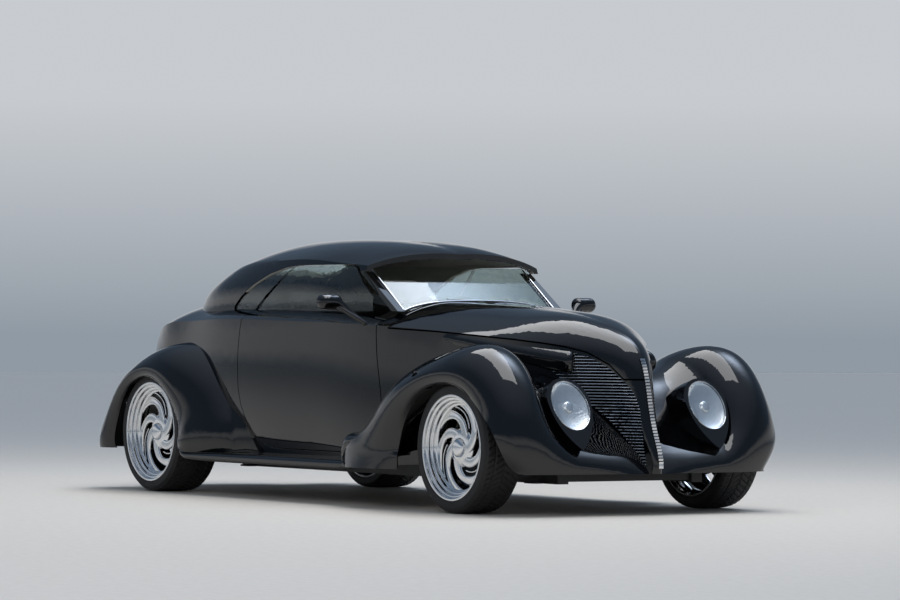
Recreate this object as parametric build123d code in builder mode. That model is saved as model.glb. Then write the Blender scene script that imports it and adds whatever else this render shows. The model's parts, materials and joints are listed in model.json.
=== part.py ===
from build123d import *
from math import asin, cos, radians, sin
import os

os.makedirs("parts", exist_ok=True)

# A low, full-fendered coupe-style hot rod of the late 1930s. Millimetres, +X to the nose,
# +Y to the driver's left, +Z up. The origin is on the ground, midway along the car.

# Wheelbase, track and wheels
front_axle_x = 1530.0
wheelbase = 2845.0
rear_axle_x = front_axle_x - wheelbase
front_tyre_radius = 302.0
rear_tyre_radius = 309.0
front_rim_radius = 244.0
rear_rim_radius = 256.0
front_tyre_width = 205.0
rear_tyre_width = 245.0
front_wheel_y = 680.0
rear_wheel_y = 655.0
tyre_shoulder = 26.0
hub_radius = 33.0
rim_dish = 62.0
spoke_thickness = 14.0
blade_count = 8
hub_cap_radius = 37.0
hub_cap_rise = 17.0
hub_face = 58.0

# Body shell
nose_pivot_x = 1450.0
nose_pivot_z = 190.0
tail_pivot_x = rear_axle_x
tail_pivot_z = 220.0
shell_wall = 45.0
hood_wall = 12.0
front_wall = 18.0
lid_wall = 25.0
bar_depth = 10.0
bar_pitch = 14.0
bar_height = 6.0
bar_count = 39
bar_bottom_z = 218.0
grille_centre_y = 16.0
nose_strip_half = 13.0
nose_strip_height = 9.0
bulge_end_radius = 36.0
bulge_sink = 1.0
panel_gap = 5.5
seam_drop = 8.0
seat_gap = 0.3
cowl_x = 650.0
sill_z = 232.0

# Doors, cockpit and deck
door_wall = 60.0
cockpit_front_x = 500.0
cockpit_rear_x = -800.0
cockpit_half_width = 540.0
door_swing_room = 9.0
deck_front_x = -1500.0
deck_bottom_z = 430.0
deck_half_width = 400.0

# Fenders and running boards
fender_wall = 6.0
front_fender_pivot_z = 190.0
rear_fender_pivot_z = 215.0
board_top_z = 226.0
board_outer_y = 800.0
board_inner_y = 596.0
board_depth = 46.0

# Hard top and glass
top_wall = 26.0
glass_wall = 6.0
glass_gap = 0.3

# Steering, frame and running gear
kingpin_y = 620.0
frame_rail_y = 380.0
frame_rail_width = 60.0
tie_down_radius = 12.0
tie_down_plate = 8.0


def fan_plane(pivot_x, pivot_z, angle):
    """Plane through a crosswise line at the pivot: local x runs to +Y, local y points outwards."""
    turn = radians(angle)
    return Plane(origin=(pivot_x, 0, pivot_z), x_dir=(0, 1, 0), z_dir=(sin(turn), 0, -cos(turn)))


def cross_plane(x):
    """Upright plane across the car: local x is +Y and local y is +Z."""
    return Plane(origin=(x, 0, 0), x_dir=(0, 1, 0), z_dir=(1, 0, 0))


def side_plane(y):
    """Upright plane along the car: local x is +X and local y is +Z."""
    return Plane(origin=(0, y, 0), x_dir=(1, 0, 0), z_dir=(0, -1, 0))


def hull_points(row, inset):
    """Sill, side, crease, crown and top of one slice, set in by a wall."""
    sill, side, crease, crown, top = row
    narrowing = 1.0 - inset / side[0]
    return [
        (sill[0] * narrowing, sill[1]),
        (side[0] * narrowing, side[1]),
        (crease[0] * narrowing, crease[1] - inset * 0.5),
        (crown[0] * narrowing, crown[1] - inset * 0.9),
        (0.0, top - inset),
    ]


def hull_arcs(half):
    """Side arc and crown arc on the left, then crown arc and side arc on the right."""
    right = [(-y, v) for y, v in half]
    ThreePointArc(half[0], half[1], half[2])
    ThreePointArc(half[2], half[3], half[4])
    ThreePointArc(right[4], right[3], right[2])
    ThreePointArc(right[2], right[1], right[0])


def hull_section(plane, row, outset, inset):
    """One slice of the body as a wall between two envelopes, open at the bottom."""
    outer = hull_points(row, -outset)
    inner = hull_points(row, inset)
    with BuildSketch(plane) as section:
        with BuildLine():
            hull_arcs(outer)
            hull_arcs(inner)
            Line(outer[0], inner[0])
            Line((-outer[0][0], outer[0][1]), (-inner[0][0], inner[0][1]))
        make_face()
    return section.sketch


# Slices of the tail: angle from the nose side, then (y, radius) of sill, side, crease, crown, and top radius
tail_slices = [
    (180, (430, 60), (470, 300), (400, 608), (220, 742), 769),
    (162, (440, 60), (500, 300), (420, 626), (240, 768), 800),
    (145, (450, 60), (530, 330), (455, 660), (260, 810), 838),
    (125, (460, 60), (570, 340), (520, 680), (300, 800), 826),
    (107, (480, 60), (610, 340), (580, 670), (350, 765), 788),
]
# Slices across the cabin and hood: x, then (y, z) of sill, side, crease, crown, and top z
cross_slices = [
    (-1250, (575, 205), (640, 560), (610, 880), (380, 975), 1003),
    (-900, (596, 190), (672, 560), (650, 890), (420, 990), 1022),
    (-400, (604, 190), (676, 560), (660, 888), (420, 1002), 1036),
    (100, (600, 190), (650, 560), (636, 878), (410, 990), 1024),
    (560, (580, 190), (606, 560), (588, 862), (380, 948), 976),
    (950, (484, 210), (512, 540), (492, 838), (310, 925), 958),
    (1250, (404, 240), (428, 540), (416, 816), (250, 905), 938),
]
# Slices of the nose: angle up from the road, then (y, radius) of sill, side, crease, crown, and top radius
nose_slices = [
    (80, (300, 60), (334, 350), (296, 606), (178, 688), 715),
    (65, (290, 60), (280, 330), (186, 624), (104, 694), 722),
    (52, (284, 60), (226, 330), (118, 634), (64, 698), 724),
    (40, (278, 60), (188, 330), (74, 612), (40, 656), 674),
    (27, (274, 60), (170, 320), (50, 588), (27, 612), 620),
    (13, (272, 60), (162, 310), (36, 592), (20, 611), 618),
    (0, (270, 60), (158, 310), (28, 600), (16, 618), 624),
]


def hull_core_section(plane, row, outset):
    """One slice of the body as a filled outline, closed by a line along the bottom."""
    outer = hull_points(row, -outset)
    with BuildSketch(plane) as section:
        with BuildLine():
            hull_arcs(outer)
            Line(outer[0], (-outer[0][0], outer[0][1]))
        make_face()
    return section.sketch


# The body's slices in order from the tail's underside over the cabin to the nose's underside
hull_slices = [(fan_plane(tail_pivot_x, tail_pivot_z, angle), row) for angle, *row in tail_slices]
hull_slices += [(cross_plane(x), row) for x, *row in cross_slices]
hull_slices += [(fan_plane(nose_pivot_x, nose_pivot_z, angle), row) for angle, *row in nose_slices]


def hull_shell(inset, outset=0.0):
    """The body's skin from tail to nose, from outset outside the envelope to inset inside it."""
    return loft([hull_section(plane, row, outset, inset) for plane, row in hull_slices])


def hull_block(outset):
    """The filled body envelope, grown by outset."""
    return loft([hull_core_section(plane, row, outset) for plane, row in hull_slices])


def side_prism(points, inner_y, outer_y, margin=0.0):
    """A block with the given side outline, set in by a margin, on the right-hand side of the car."""
    with BuildSketch(side_plane(-inner_y)) as outline:
        with BuildLine():
            Polyline(*points, close=True)
        make_face()
        if margin:
            offset(amount=-margin, kind=Kind.INTERSECTION, mode=Mode.REPLACE)
    return extrude(outline.sketch, amount=outer_y - inner_y)


def finish(builder, name):
    """Name a finished piece, print its volume and write it out."""
    builder.part.label = name
    export_step(builder.part, f"parts/{name}.step")
    print(f"{name}: {len(builder.part.solids())} solids, {builder.part.volume / 1e6:.1f} litres")


def both_sides(points):
    """The same outline mirrored to the other side is cut by a prism through the whole car."""
    with BuildSketch(side_plane(-1000)) as outline:
        with BuildLine():
            Polyline(*points, close=True)
        make_face()
    return extrude(outline.sketch, amount=-2000)


# Side-view outlines: the seam under the hood, the doors and the grille
seam_line = [
    (650, 853), (950, 838), (1250, 816), (1420, 803), (1555, 787),
    (1650, 770), (1740, 745), (1840, 690), (1905, 622), (2200, 622),
]
# Slices of the side bulge: x, y, z of the centre, radius, and heading towards the middle in degrees
side_bulge_slices = [
    (900, -470, 815, 26, 12),
    (1250, -390, 762, 44, 18),
    (1500, -295, 720, 55, 25),
    (1685, -196, 690, 58, 30),
]
door_outline = [
    (566, 1100), (569, 955), (577, 830), (596, 709), (616, 616), (628, 544), (636, 450), (638, 245),
    (-250, 245), (-330, 249), (-400, 264), (-455, 290), (-507, 335), (-548, 395), (-575, 460), (-585, 540),
    (-585, 1100),
]
grille_outline = [
    (1607, 742), (1607, 655), (1719, 536), (1791, 473), (1863, 410), (1921, 347), (1983, 279), (2026, 222),
    (2012, 300), (1998, 390), (1975, 490), (1945, 560), (1912, 604), (1837, 672), (1757, 716), (1680, 738),
]

# Skins of several walls, made once and cut into panels below
hood_skin = hull_shell(hood_wall)
front_skin = hull_shell(front_wall)
body_skin = hull_shell(shell_wall)
door_skin = hull_shell(door_wall)
lid_skin = hull_shell(lid_wall)
door_clearance = hull_shell(door_wall + 5.0, panel_gap + 1.0)
bar_skin = hull_shell(bar_depth + 2.0, -2.0)
fender_trim = hull_block(seat_gap)


nose_strip_zone = side_prism([(1850, 212), (1850, 720), (2200, 720), (2200, 212)], -nose_strip_half, nose_strip_half)


def mirrored(name, piece):
    """The left-hand twin of a right-hand piece."""
    with BuildPart() as twin:
        mirror(piece.part, about=Plane.XZ)
    finish(twin, name)
    return twin


# Side-view cutters
hood_rear_x = cowl_x + panel_gap
hood_cut = both_sides([(hood_rear_x, seam_line[0][1])] + seam_line[1:] + [(2200, 1300), (hood_rear_x, 1300)])
below_seam = both_sides([(x, z - seam_drop) for x, z in seam_line] + [(2200, 0), (cowl_x, 0)])
grille_opening = side_prism(grille_outline, grille_centre_y, 500)
grille_openings = [grille_opening, mirror(grille_opening, about=Plane.XZ)]
door_hole = side_prism(door_outline, cockpit_half_width - door_swing_room, 900)
door_panel = side_prism(door_outline, cockpit_half_width + panel_gap, 900, panel_gap)
with BuildPart() as cockpit:
    with BuildSketch(Plane.XY.offset(sill_z + 300)):
        with Locations(((cockpit_front_x + cockpit_rear_x) / 2, 0)):
            RectangleRounded(cockpit_front_x - cockpit_rear_x, 2 * cockpit_half_width, 60)
    extrude(amount=700)
with BuildPart() as deck_hole:
    with BuildSketch(Plane.XY.offset(deck_bottom_z)):
        with Locations((deck_front_x - 500, 0)):
            Rectangle(1000, 2 * deck_half_width)
    extrude(amount=800)
with BuildPart() as deck_panel:
    with BuildSketch(Plane.XY.offset(deck_bottom_z + panel_gap)):
        with Locations((deck_front_x - 500 - panel_gap, 0)):
            Rectangle(1000, 2 * (deck_half_width - panel_gap))
    extrude(amount=800)
with BuildPart() as rear_body_zone:
    with Locations((cowl_x - 1500, 0, 700)):
        Box(3000, 2000, 1400)
with BuildPart() as wheel_wells:
    for side in (-1, 1):
        with Locations((rear_axle_x, side * 605, rear_tyre_radius)):
            Cylinder(rear_tyre_radius + 45, 370, rotation=(90, 0, 0))

with BuildPart() as hood:
    add(hood_skin)
    add(hood_cut, mode=Mode.INTERSECT)
finish(hood, "hood")

# A bullet-shaped swelling along each side just under the hood seam, blunt beside the grille
bulge_trim = hull_block(-bulge_sink)
with BuildPart() as side_bulge:
    for x, y, z, radius, heading in side_bulge_slices:
        turn = radians(heading)
        with BuildSketch(Plane(origin=(x, y, z), x_dir=(-sin(turn), cos(turn), 0), z_dir=(cos(turn), sin(turn), 0))):
            Circle(radius)
    loft()
    fillet(side_bulge.edges().sort_by(Axis.X)[-1], bulge_end_radius)
    add(below_seam, mode=Mode.INTERSECT)
    add(bulge_trim, mode=Mode.SUBTRACT)
with BuildPart() as grille_shell:
    add(front_skin)
    add(below_seam, mode=Mode.INTERSECT)
    add(grille_openings, mode=Mode.SUBTRACT)
    add([side_bulge.part, mirror(side_bulge.part, about=Plane.XZ)])
finish(grille_shell, "grille_shell")

# A trim strip that stands proud along the ridge of the nose
nose_strip_skin = hull_shell(-seat_gap, nose_strip_height)
with BuildPart() as nose_strip:
    add(nose_strip_skin)
    add(nose_strip_zone, mode=Mode.INTERSECT)
finish(nose_strip, "nose_strip")

# Grille bars: a stack of level slats cut from a skin just inside the nose, with posts behind them
with BuildPart() as slat_stack:
    with Locations(*[(1800, 0, bar_bottom_z + bar_pitch * n) for n in range(bar_count)]):
        Box(700, 1000, bar_height)
with BuildPart() as grille_bars:
    add(bar_skin)
    add(grille_openings, mode=Mode.INTERSECT)
    add(slat_stack.part, mode=Mode.INTERSECT)
finish(grille_bars, "grille_bars")

with BuildPart() as body_tub:
    add(body_skin)
    add(rear_body_zone.part, mode=Mode.INTERSECT)
    add(door_hole, mode=Mode.SUBTRACT)
    add(mirror(door_hole, about=Plane.XZ), mode=Mode.SUBTRACT)
    add(cockpit.part, mode=Mode.SUBTRACT)
    add(deck_hole.part, mode=Mode.SUBTRACT)
    add(wheel_wells.part, mode=Mode.SUBTRACT)
tub_solid = body_tub.part.solids().sort_by(SortBy.VOLUME)[-1]
with BuildPart() as body_tub:
    add(tub_solid)
finish(body_tub, "body_tub")

with BuildPart() as door_right:
    add(door_skin)
    add(door_panel, mode=Mode.INTERSECT)
    add(cockpit.part, mode=Mode.SUBTRACT)
finish(door_right, "door_right")
door_left = mirrored("door_left", door_right)

with BuildPart() as deck_lid:
    add(lid_skin)
    add(deck_panel.part, mode=Mode.INTERSECT)
finish(deck_lid, "deck_lid")


def inward(points, wall):
    """The same outline set in by a wall, each point moved square to its neighbours."""
    moved = []
    for n, (y, v) in enumerate(points):
        before = points[max(n - 1, 0)]
        after = points[min(n + 1, len(points) - 1)]
        along = Vector(after[0] - before[0], after[1] - before[1]).normalized()
        moved.append((y + along.Y * wall, v - along.X * wall))
    return moved


def fender_section(plane, row):
    """One fan slice of a fender wall: flank, valley and rise, then crest and shoulder, down to the lip."""
    skins = [row, inward(row, fender_wall)]
    with BuildSketch(plane) as section:
        with BuildLine():
            for flank, valley, rise, crest, shoulder, lip in skins:
                ThreePointArc(flank, valley, rise)
                crown = ThreePointArc(rise, crest, shoulder)
                TangentArc(shoulder, lip, tangent=crown % 1)
            Line(skins[0][0], skins[1][0])
            Line(skins[0][5], skins[1][5])
        make_face()
    return section.sketch


# Fan slices of the front fender: angle, then (y, radius) of flank, valley, rise, crest, shoulder and lip
front_fender_slices = [
    (0, (12, 512), (220, 505), (420, 492), (540, 480), (640, 455), (690, 430)),
    (12, (30, 455), (220, 460), (430, 476), (570, 498), (700, 468), (760, 400)),
    (27, (65, 403), (280, 392), (480, 432), (610, 510), (755, 465), (800, 410)),
    (48, (110, 381), (300, 374), (490, 444), (635, 546), (785, 465), (800, 385)),
    (72, (170, 425), (330, 425), (480, 496), (645, 592), (815, 475), (802, 395)),
    (98, (300, 470), (390, 475), (480, 520), (665, 575), (832, 475), (802, 402)),
    (125, (405, 530), (470, 535), (540, 565), (680, 603), (845, 500), (802, 418)),
    (150, (490, 640), (535, 640), (590, 665), (700, 690), (850, 570), (800, 428)),
    (168, (545, 800), (580, 800), (620, 815), (710, 830), (840, 720), (800, 430)),
    (180, (580, 972), (610, 979), (640, 984), (700, 985), (800, 920), (800, 430)),
]
# Fan slices of the rear fender, in the same columns
rear_fender_slices = [
    (0, (575, 900), (630, 800), (680, 700), (750, 580), (795, 470), (790, 345)),
    (20, (575, 810), (630, 740), (670, 675), (750, 585), (805, 460), (790, 340)),
    (45, (570, 695), (620, 660), (660, 635), (740, 575), (812, 450), (796, 350)),
    (70, (555, 600), (600, 595), (640, 590), (720, 560), (820, 450), (796, 364)),
    (95, (525, 500), (575, 510), (620, 520), (700, 515), (820, 435), (796, 374)),
    (120, (485, 455), (550, 465), (600, 485), (690, 490), (815, 430), (796, 372)),
    (145, (445, 450), (510, 460), (570, 490), (670, 508), (800, 450), (785, 372)),
    (165, (415, 480), (490, 500), (550, 530), (650, 553), (790, 495), (780, 380)),
    (180, (395, 510), (470, 540), (530, 575), (630, 600), (770, 545), (765, 385)),
]


def fender(pivot_x, pivot_z, slices):
    """A thin-walled fender lofted through fan slices about a crosswise line at its pivot."""
    return loft([fender_section(fan_plane(pivot_x, pivot_z, angle), row) for angle, *row in slices])


front_fender_left_form = fender(front_axle_x, front_fender_pivot_z, front_fender_slices)
rear_fender_left_form = fender(rear_axle_x, rear_fender_pivot_z, rear_fender_slices)
door_keepout = door_clearance & side_prism(door_outline, cockpit_half_width - 10, 900)

with BuildPart() as front_fender_right:
    add(mirror(front_fender_left_form, about=Plane.XZ))
    add(fender_trim, mode=Mode.SUBTRACT)
    add(door_keepout, mode=Mode.SUBTRACT)
finish(front_fender_right, "front_fender_right")
front_fender_left = mirrored("front_fender_left", front_fender_right)

with BuildPart() as rear_fender_right:
    add(mirror(rear_fender_left_form, about=Plane.XZ))
    add(fender_trim, mode=Mode.SUBTRACT)
    add(door_keepout, mode=Mode.SUBTRACT)
finish(rear_fender_right, "rear_fender_right")
rear_fender_left = mirrored("rear_fender_left", rear_fender_right)

# Running boards: a rounded step between the fenders, seated on the sill
with BuildPart() as running_board_right:
    with BuildSketch(Plane(origin=(front_axle_x - 990, 0, 0), x_dir=(0, -1, 0), z_dir=(-1, 0, 0))):
        with BuildLine():
            Line((board_inner_y - 20, board_top_z), (board_outer_y - 24, board_top_z - 10))
            ThreePointArc(
                (board_outer_y - 24, board_top_z - 10),
                (board_outer_y, board_top_z - 32),
                (board_outer_y - 24, board_top_z - board_depth - 6),
            )
            Line((board_outer_y - 24, board_top_z - board_depth - 6), (board_inner_y - 20, board_top_z - board_depth))
            Line((board_inner_y - 20, board_top_z - board_depth), (board_inner_y - 20, board_top_z))
        make_face()
    extrude(amount=front_axle_x - 990 + 862)
    add(fender_trim, mode=Mode.SUBTRACT)
    add(front_fender_right.part, mode=Mode.SUBTRACT)
    add(rear_fender_right.part, mode=Mode.SUBTRACT)
board_solid = running_board_right.part.solids().sort_by(SortBy.VOLUME)[-1]
with BuildPart() as running_board_right:
    add(board_solid)
finish(running_board_right, "running_board_right")
running_board_left = mirrored("running_board_left", running_board_right)

# Slices of the hard top: x, then (y, z) of foot, side, shoulder, crown, and top z
top_slices = [
    (-1450, (390, 930), (382, 968), (350, 1000), (200, 1014), 1020),
    (-1400, (420, 930), (405, 985), (358, 1026), (205, 1044), 1050),
    (-1230, (505, 930), (474, 1030), (400, 1082), (250, 1118), 1134),
    (-1000, (556, 930), (532, 1060), (458, 1142), (285, 1198), 1224),
    (-700, (580, 930), (564, 1070), (508, 1176), (310, 1254), 1280),
    (-350, (586, 930), (572, 1075), (528, 1188), (325, 1268), 1291),
    (0, (576, 930), (562, 1070), (522, 1180), (320, 1258), 1279),
    (250, (552, 930), (540, 1065), (506, 1160), (310, 1232), 1253),
    (420, (520, 930), (510, 1055), (492, 1140), (300, 1190), 1208),
]


def top_shell(inset, outset=0.0):
    """The hard top's skin from its tail to the visor."""
    return loft([hull_section(cross_plane(x), row, outset, inset) for x, *row in top_slices])


top_skin = top_shell(top_wall)
side_glass_skin = top_shell(8 + glass_wall, -8)
side_window = [
    (520, 900), (474, 956), (285, 1150), (240, 1160), (-200, 1160), (-330, 1150),
    (-480, 1118), (-620, 1066), (-730, 1010), (-800, 960), (-815, 900),
]
below_visor = [(232, 900), (900, 900), (900, 1126), (232, 1126)]
window_hole = side_prism(side_window, 360, 900)
with BuildPart() as visor_zone:
    with BuildSketch(Plane.XY.offset(880)):
        with BuildLine():
            ThreePointArc((318, -620), (404, 0), (318, 620))
            Polyline((318, 620), (-1470, 620), (-1470, -620), (318, -620))
        make_face()
    extrude(amount=500)
with BuildPart() as rear_window_hole:
    with BuildSketch(Plane.XY.offset(1000)):
        with Locations((-1075, 0)):
            RectangleRounded(210, 470, 60)
    extrude(amount=300)
with BuildPart() as rear_window_pane:
    with BuildSketch(Plane.XY.offset(1000)):
        with Locations((-1075, 0)):
            RectangleRounded(210 - 2 * glass_gap, 470 - 2 * glass_gap, 60 - glass_gap)
    extrude(amount=300)

with BuildPart() as hard_top:
    add(top_skin)
    add(visor_zone.part, mode=Mode.INTERSECT)
    add(window_hole, mode=Mode.SUBTRACT)
    add(mirror(window_hole, about=Plane.XZ), mode=Mode.SUBTRACT)
    add(both_sides(below_visor), mode=Mode.SUBTRACT)
    add(rear_window_hole.part, mode=Mode.SUBTRACT)
    add(fender_trim, mode=Mode.SUBTRACT)
    add([door_keepout, mirror(door_keepout, about=Plane.XZ)], mode=Mode.SUBTRACT)
finish(hard_top, "hard_top")

door_glass_outline = [
    (540, 900), (498, 930), (262, 1140), (232, 1154), (-200, 1154), (-268, 1150), (-575, 930), (-575, 900),
]
quarter_glass_outline = [
    (-283, 1150), (-330, 1144), (-478, 1111), (-616, 1060), (-725, 1006), (-794, 957), (-806, 900), (-598, 900),
    (-598, 936),
]
door_glass_prism = side_prism(door_glass_outline, 360, 900)
quarter_glass_prism = side_prism(quarter_glass_outline, 360, 900)
with BuildPart() as door_glass_right:
    add(side_glass_skin)
    add(door_glass_prism, mode=Mode.INTERSECT)
    add(fender_trim, mode=Mode.SUBTRACT)
finish(door_glass_right, "door_glass_right")
door_glass_left = mirrored("door_glass_left", door_glass_right)
with BuildPart() as quarter_glass:
    add(side_glass_skin)
    add(quarter_glass_prism, mode=Mode.INTERSECT)
    add(fender_trim, mode=Mode.SUBTRACT)
    mirror(about=Plane.XZ)
with BuildPart() as rear_glass:
    add(side_glass_skin)
    add(rear_window_pane.part, mode=Mode.INTERSECT)
with BuildPart() as fixed_glass:
    add(quarter_glass.part)
    add(rear_glass.part)
finish(fixed_glass, "fixed_glass")

# Windscreen: a bowed pane from the cowl up under the visor, between two leaning pillars
with BuildPart() as windscreen:
    for z, side_x, centre_x, half in ((935, 592, 660, 450), (1150, 286, 349, 450)):
        with BuildSketch(Plane.XY.offset(z)):
            with BuildLine():
                ThreePointArc((side_x, -half), (centre_x, 0), (side_x, half))
                ThreePointArc((side_x - 9, -half), (centre_x - 9, 0), (side_x - 9, half))
                Line((side_x, -half), (side_x - 9, -half))
                Line((side_x, half), (side_x - 9, half))
            make_face()
    loft()
    add(fender_trim, mode=Mode.SUBTRACT)
finish(windscreen, "windscreen")

pillar = side_prism([(556, 930), (612, 930), (310, 1125.7), (262, 1125.7)], 450.3, 490)
with BuildPart() as windscreen_frame:
    add([pillar, mirror(pillar, about=Plane.XZ)])
    add(fender_trim, mode=Mode.SUBTRACT)
finish(windscreen_frame, "windscreen_frame")

# Headlamps: pods that grow out of the fenders, with a raked oval lens in a shield-shaped face
lamp_x = 1914.0
lamp_y = 387.0
lamp_z = 500.0
lamp_rake = 28.0
lens_half_width = 100.0
lens_half_height = 124.0
lens_depth = 26.0
# Pod slices: distance behind the face, drop, size, with size 1 as the whole face
pod_slices = [(0, 0, 1.0), (90, -26, 0.97), (230, -62, 0.86), (420, -130, 0.5)]


def lamp_plane(distance, drop, side):
    """Raked plane behind a lamp's face: local x runs to +Y and local y up the face."""
    tilt = radians(lamp_rake)
    face = Vector(lamp_x, side * lamp_y, lamp_z)
    centre = face + Vector(-distance * cos(tilt) + drop * sin(tilt), 0, -distance * sin(tilt) - drop * cos(tilt))
    return Plane(origin=centre, x_dir=(0, 1, 0), z_dir=(cos(tilt), 0, sin(tilt)))


with BuildPart() as pod_left:
    for distance, drop, size in pod_slices:
        with BuildSketch(lamp_plane(distance, drop, 1)):
            with BuildLine():
                ThreePointArc((-116 * size, 0), (0, 140 * size), (116 * size, 0))
                ThreePointArc((116 * size, 0), (84 * size, -118 * size), (0, -228 * size))
                ThreePointArc((0, -228 * size), (-84 * size, -118 * size), (-116 * size, 0))
            make_face()
    loft()
    with BuildSketch(lamp_plane(0, 0, 1)):
        Ellipse(lens_half_width, lens_half_height)
    extrude(amount=-lens_depth, mode=Mode.SUBTRACT)
    add(front_fender_left.part, mode=Mode.SUBTRACT)
    add(fender_trim, mode=Mode.SUBTRACT)
pod_solid = pod_left.part.solids().sort_by(Axis.X)[-1]
with BuildPart() as headlight_pods:
    add([pod_solid, mirror(pod_solid, about=Plane.XZ)])
finish(headlight_pods, "headlight_pods")
with BuildPart() as headlight_lenses:
    for side in (-1, 1):
        with BuildSketch(lamp_plane(lens_depth - seat_gap, 0, side)):
            Ellipse(lens_half_width - seat_gap, lens_half_height - seat_gap)
        extrude(amount=lens_depth + 6)
finish(headlight_lenses, "headlight_lenses")

# Mirrors on the doors, just behind the front edge: an oval head on a slanted arm
mirror_head = (410, -748, 972)
mirror_foot = (488, -598, 872)
mirror_depth = 60.0
with BuildPart() as mirror_shell:
    with BuildSketch(Plane.YZ.offset(-mirror_depth / 2)):
        RectangleRounded(128, 72, 34)
    extrude(amount=mirror_depth)
    fillet(mirror_shell.edges().group_by(Axis.X)[-1], 32)
    fillet(mirror_shell.edges().group_by(Axis.X)[0], 10)
with BuildPart() as mirror_right:
    with Locations(mirror_head):
        add(mirror_shell.part)
    arm = Vector(*mirror_head) - Vector(*mirror_foot)
    with BuildSketch(Plane(origin=mirror_foot, x_dir=(0, 0, 1), z_dir=arm.normalized())):
        Circle(11)
    extrude(amount=arm.length)
    add(fender_trim, mode=Mode.SUBTRACT)
mirror_solid = mirror_right.part.solids().sort_by(SortBy.VOLUME)[-1]
with BuildPart() as mirror_right:
    add(mirror_solid)
finish(mirror_right, "mirror_right")
mirror_left = mirrored("mirror_left", mirror_right)

# Tail lamps on the rear faces of the rear fenders
with BuildPart() as lamp_pair:
    for y in (-660, 660):
        with BuildSketch(Plane(origin=(-1700, y, 480), x_dir=(0, 1, 0), z_dir=(-1, 0, 0))):
            Ellipse(30, 52)
        extrude(amount=90, taper=12)
    add(rear_fender_right.part, mode=Mode.SUBTRACT)
    add(rear_fender_left.part, mode=Mode.SUBTRACT)
with BuildPart() as tail_lamps:
    add([body for body in lamp_pair.part.solids() if body.center().X < -1740])
finish(tail_lamps, "tail_lamps")


def wheel_plane(x, y, z):
    """Plane on a wheel's outer face: local z points away from the car."""
    side = 1 if y > 0 else -1
    return Plane(origin=(x, y, z), x_dir=(side, 0, 0), z_dir=(0, side, 0))


def polar(radius, angle):
    """A point in a flat sketch at a radius and an angle in degrees."""
    return (radius * cos(radians(angle)), radius * sin(radians(angle)))


def rim_form(radius, width, handed):
    """A dished rim about local Z, outer face at 0: stepped lip, hub, curved blades and a domed cap."""
    barrel = radius - 18
    cap_edge = -rim_dish + 14
    cap_top = cap_edge + hub_cap_rise
    dome_radius = (hub_cap_radius**2 + hub_cap_rise**2) / (2 * hub_cap_rise)
    half_angle = asin(hub_cap_radius / dome_radius) / 2
    cap_middle = (dome_radius * sin(half_angle), cap_top - dome_radius * (1 - cos(half_angle)))
    with BuildPart() as rim:
        with BuildSketch(Plane.XZ):
            with BuildLine():
                Polyline(
                    (radius, 0), (radius - 12, 0), (barrel - 6, -12), (barrel - 8, -30), (barrel - 14, -33),
                    (barrel - 18, -rim_dish), (barrel - 18, -rim_dish - 30), (barrel - 6, -rim_dish - 45),
                    (barrel - 6, -width + 2), (radius - 8, -width), (radius, -width), (radius, -width + 10),
                    (barrel, -width + 10), (barrel, -10), (radius, -10), (radius, 0),
                )
            make_face()
        revolve(axis=Axis.Z)
        with BuildSketch(Plane.XY.offset(-rim_dish - 30)):
            Circle(hub_face + 8)
        extrude(amount=30)
        reach = barrel - 10
        with BuildSketch(Plane.XY.offset(-rim_dish - 22)):
            for n in range(blade_count):
                turn = 360 / blade_count * n
                lead, root = polar(hub_face, turn - 10), polar(hub_face, turn + 30)
                near, far = polar(reach, turn + 50), polar(reach, turn + 70)
                with BuildLine():
                    ThreePointArc(lead, polar(0.62 * reach, turn + 16), near)
                    Line(near, far)
                    ThreePointArc(far, polar(0.62 * reach, turn + 42), root)
                    Line(root, lead)
                make_face()
        extrude(amount=spoke_thickness)
        with BuildSketch(Plane.XY.offset(-rim_dish - 31)):
            Circle(hub_radius + seat_gap)
        extrude(amount=21, mode=Mode.SUBTRACT)
        with BuildSketch(Plane.XZ):
            with BuildLine():
                Polyline((0, cap_top), (0, -rim_dish - 6), (hub_cap_radius, -rim_dish - 6), (hub_cap_radius, cap_edge))
                ThreePointArc((hub_cap_radius, cap_edge), cap_middle, (0, cap_top))
            make_face()
        revolve(axis=Axis.Z)
    return rim.part if handed > 0 else mirror(rim.part, about=Plane.XZ)


def tyre_form(radius, rim_radius, width):
    """A low-profile tyre about local Z, outer face at 0, seated on its rim."""
    gap = seat_gap
    with BuildPart() as tyre:
        with BuildSketch(Plane.XZ):
            with BuildLine():
                Polyline(
                    (rim_radius - 18 + gap, -10 - gap), (rim_radius + gap, -10 - gap), (rim_radius + gap, 0),
                    (rim_radius + 14, 2), (radius - tyre_shoulder, 1), (radius - 6, -12), (radius, -26),
                    (radius, -width + 26), (radius - 6, -width + 12), (radius - tyre_shoulder, -width - 1),
                    (rim_radius + 14, -width - 2), (rim_radius + gap, -width), (rim_radius + gap, -width + 10 + gap),
                    (rim_radius - 18 + gap, -width + 10 + gap), (rim_radius - 18 + gap, -10 - gap),
                )
            make_face()
        revolve(axis=Axis.Z)
    return tyre.part


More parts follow.
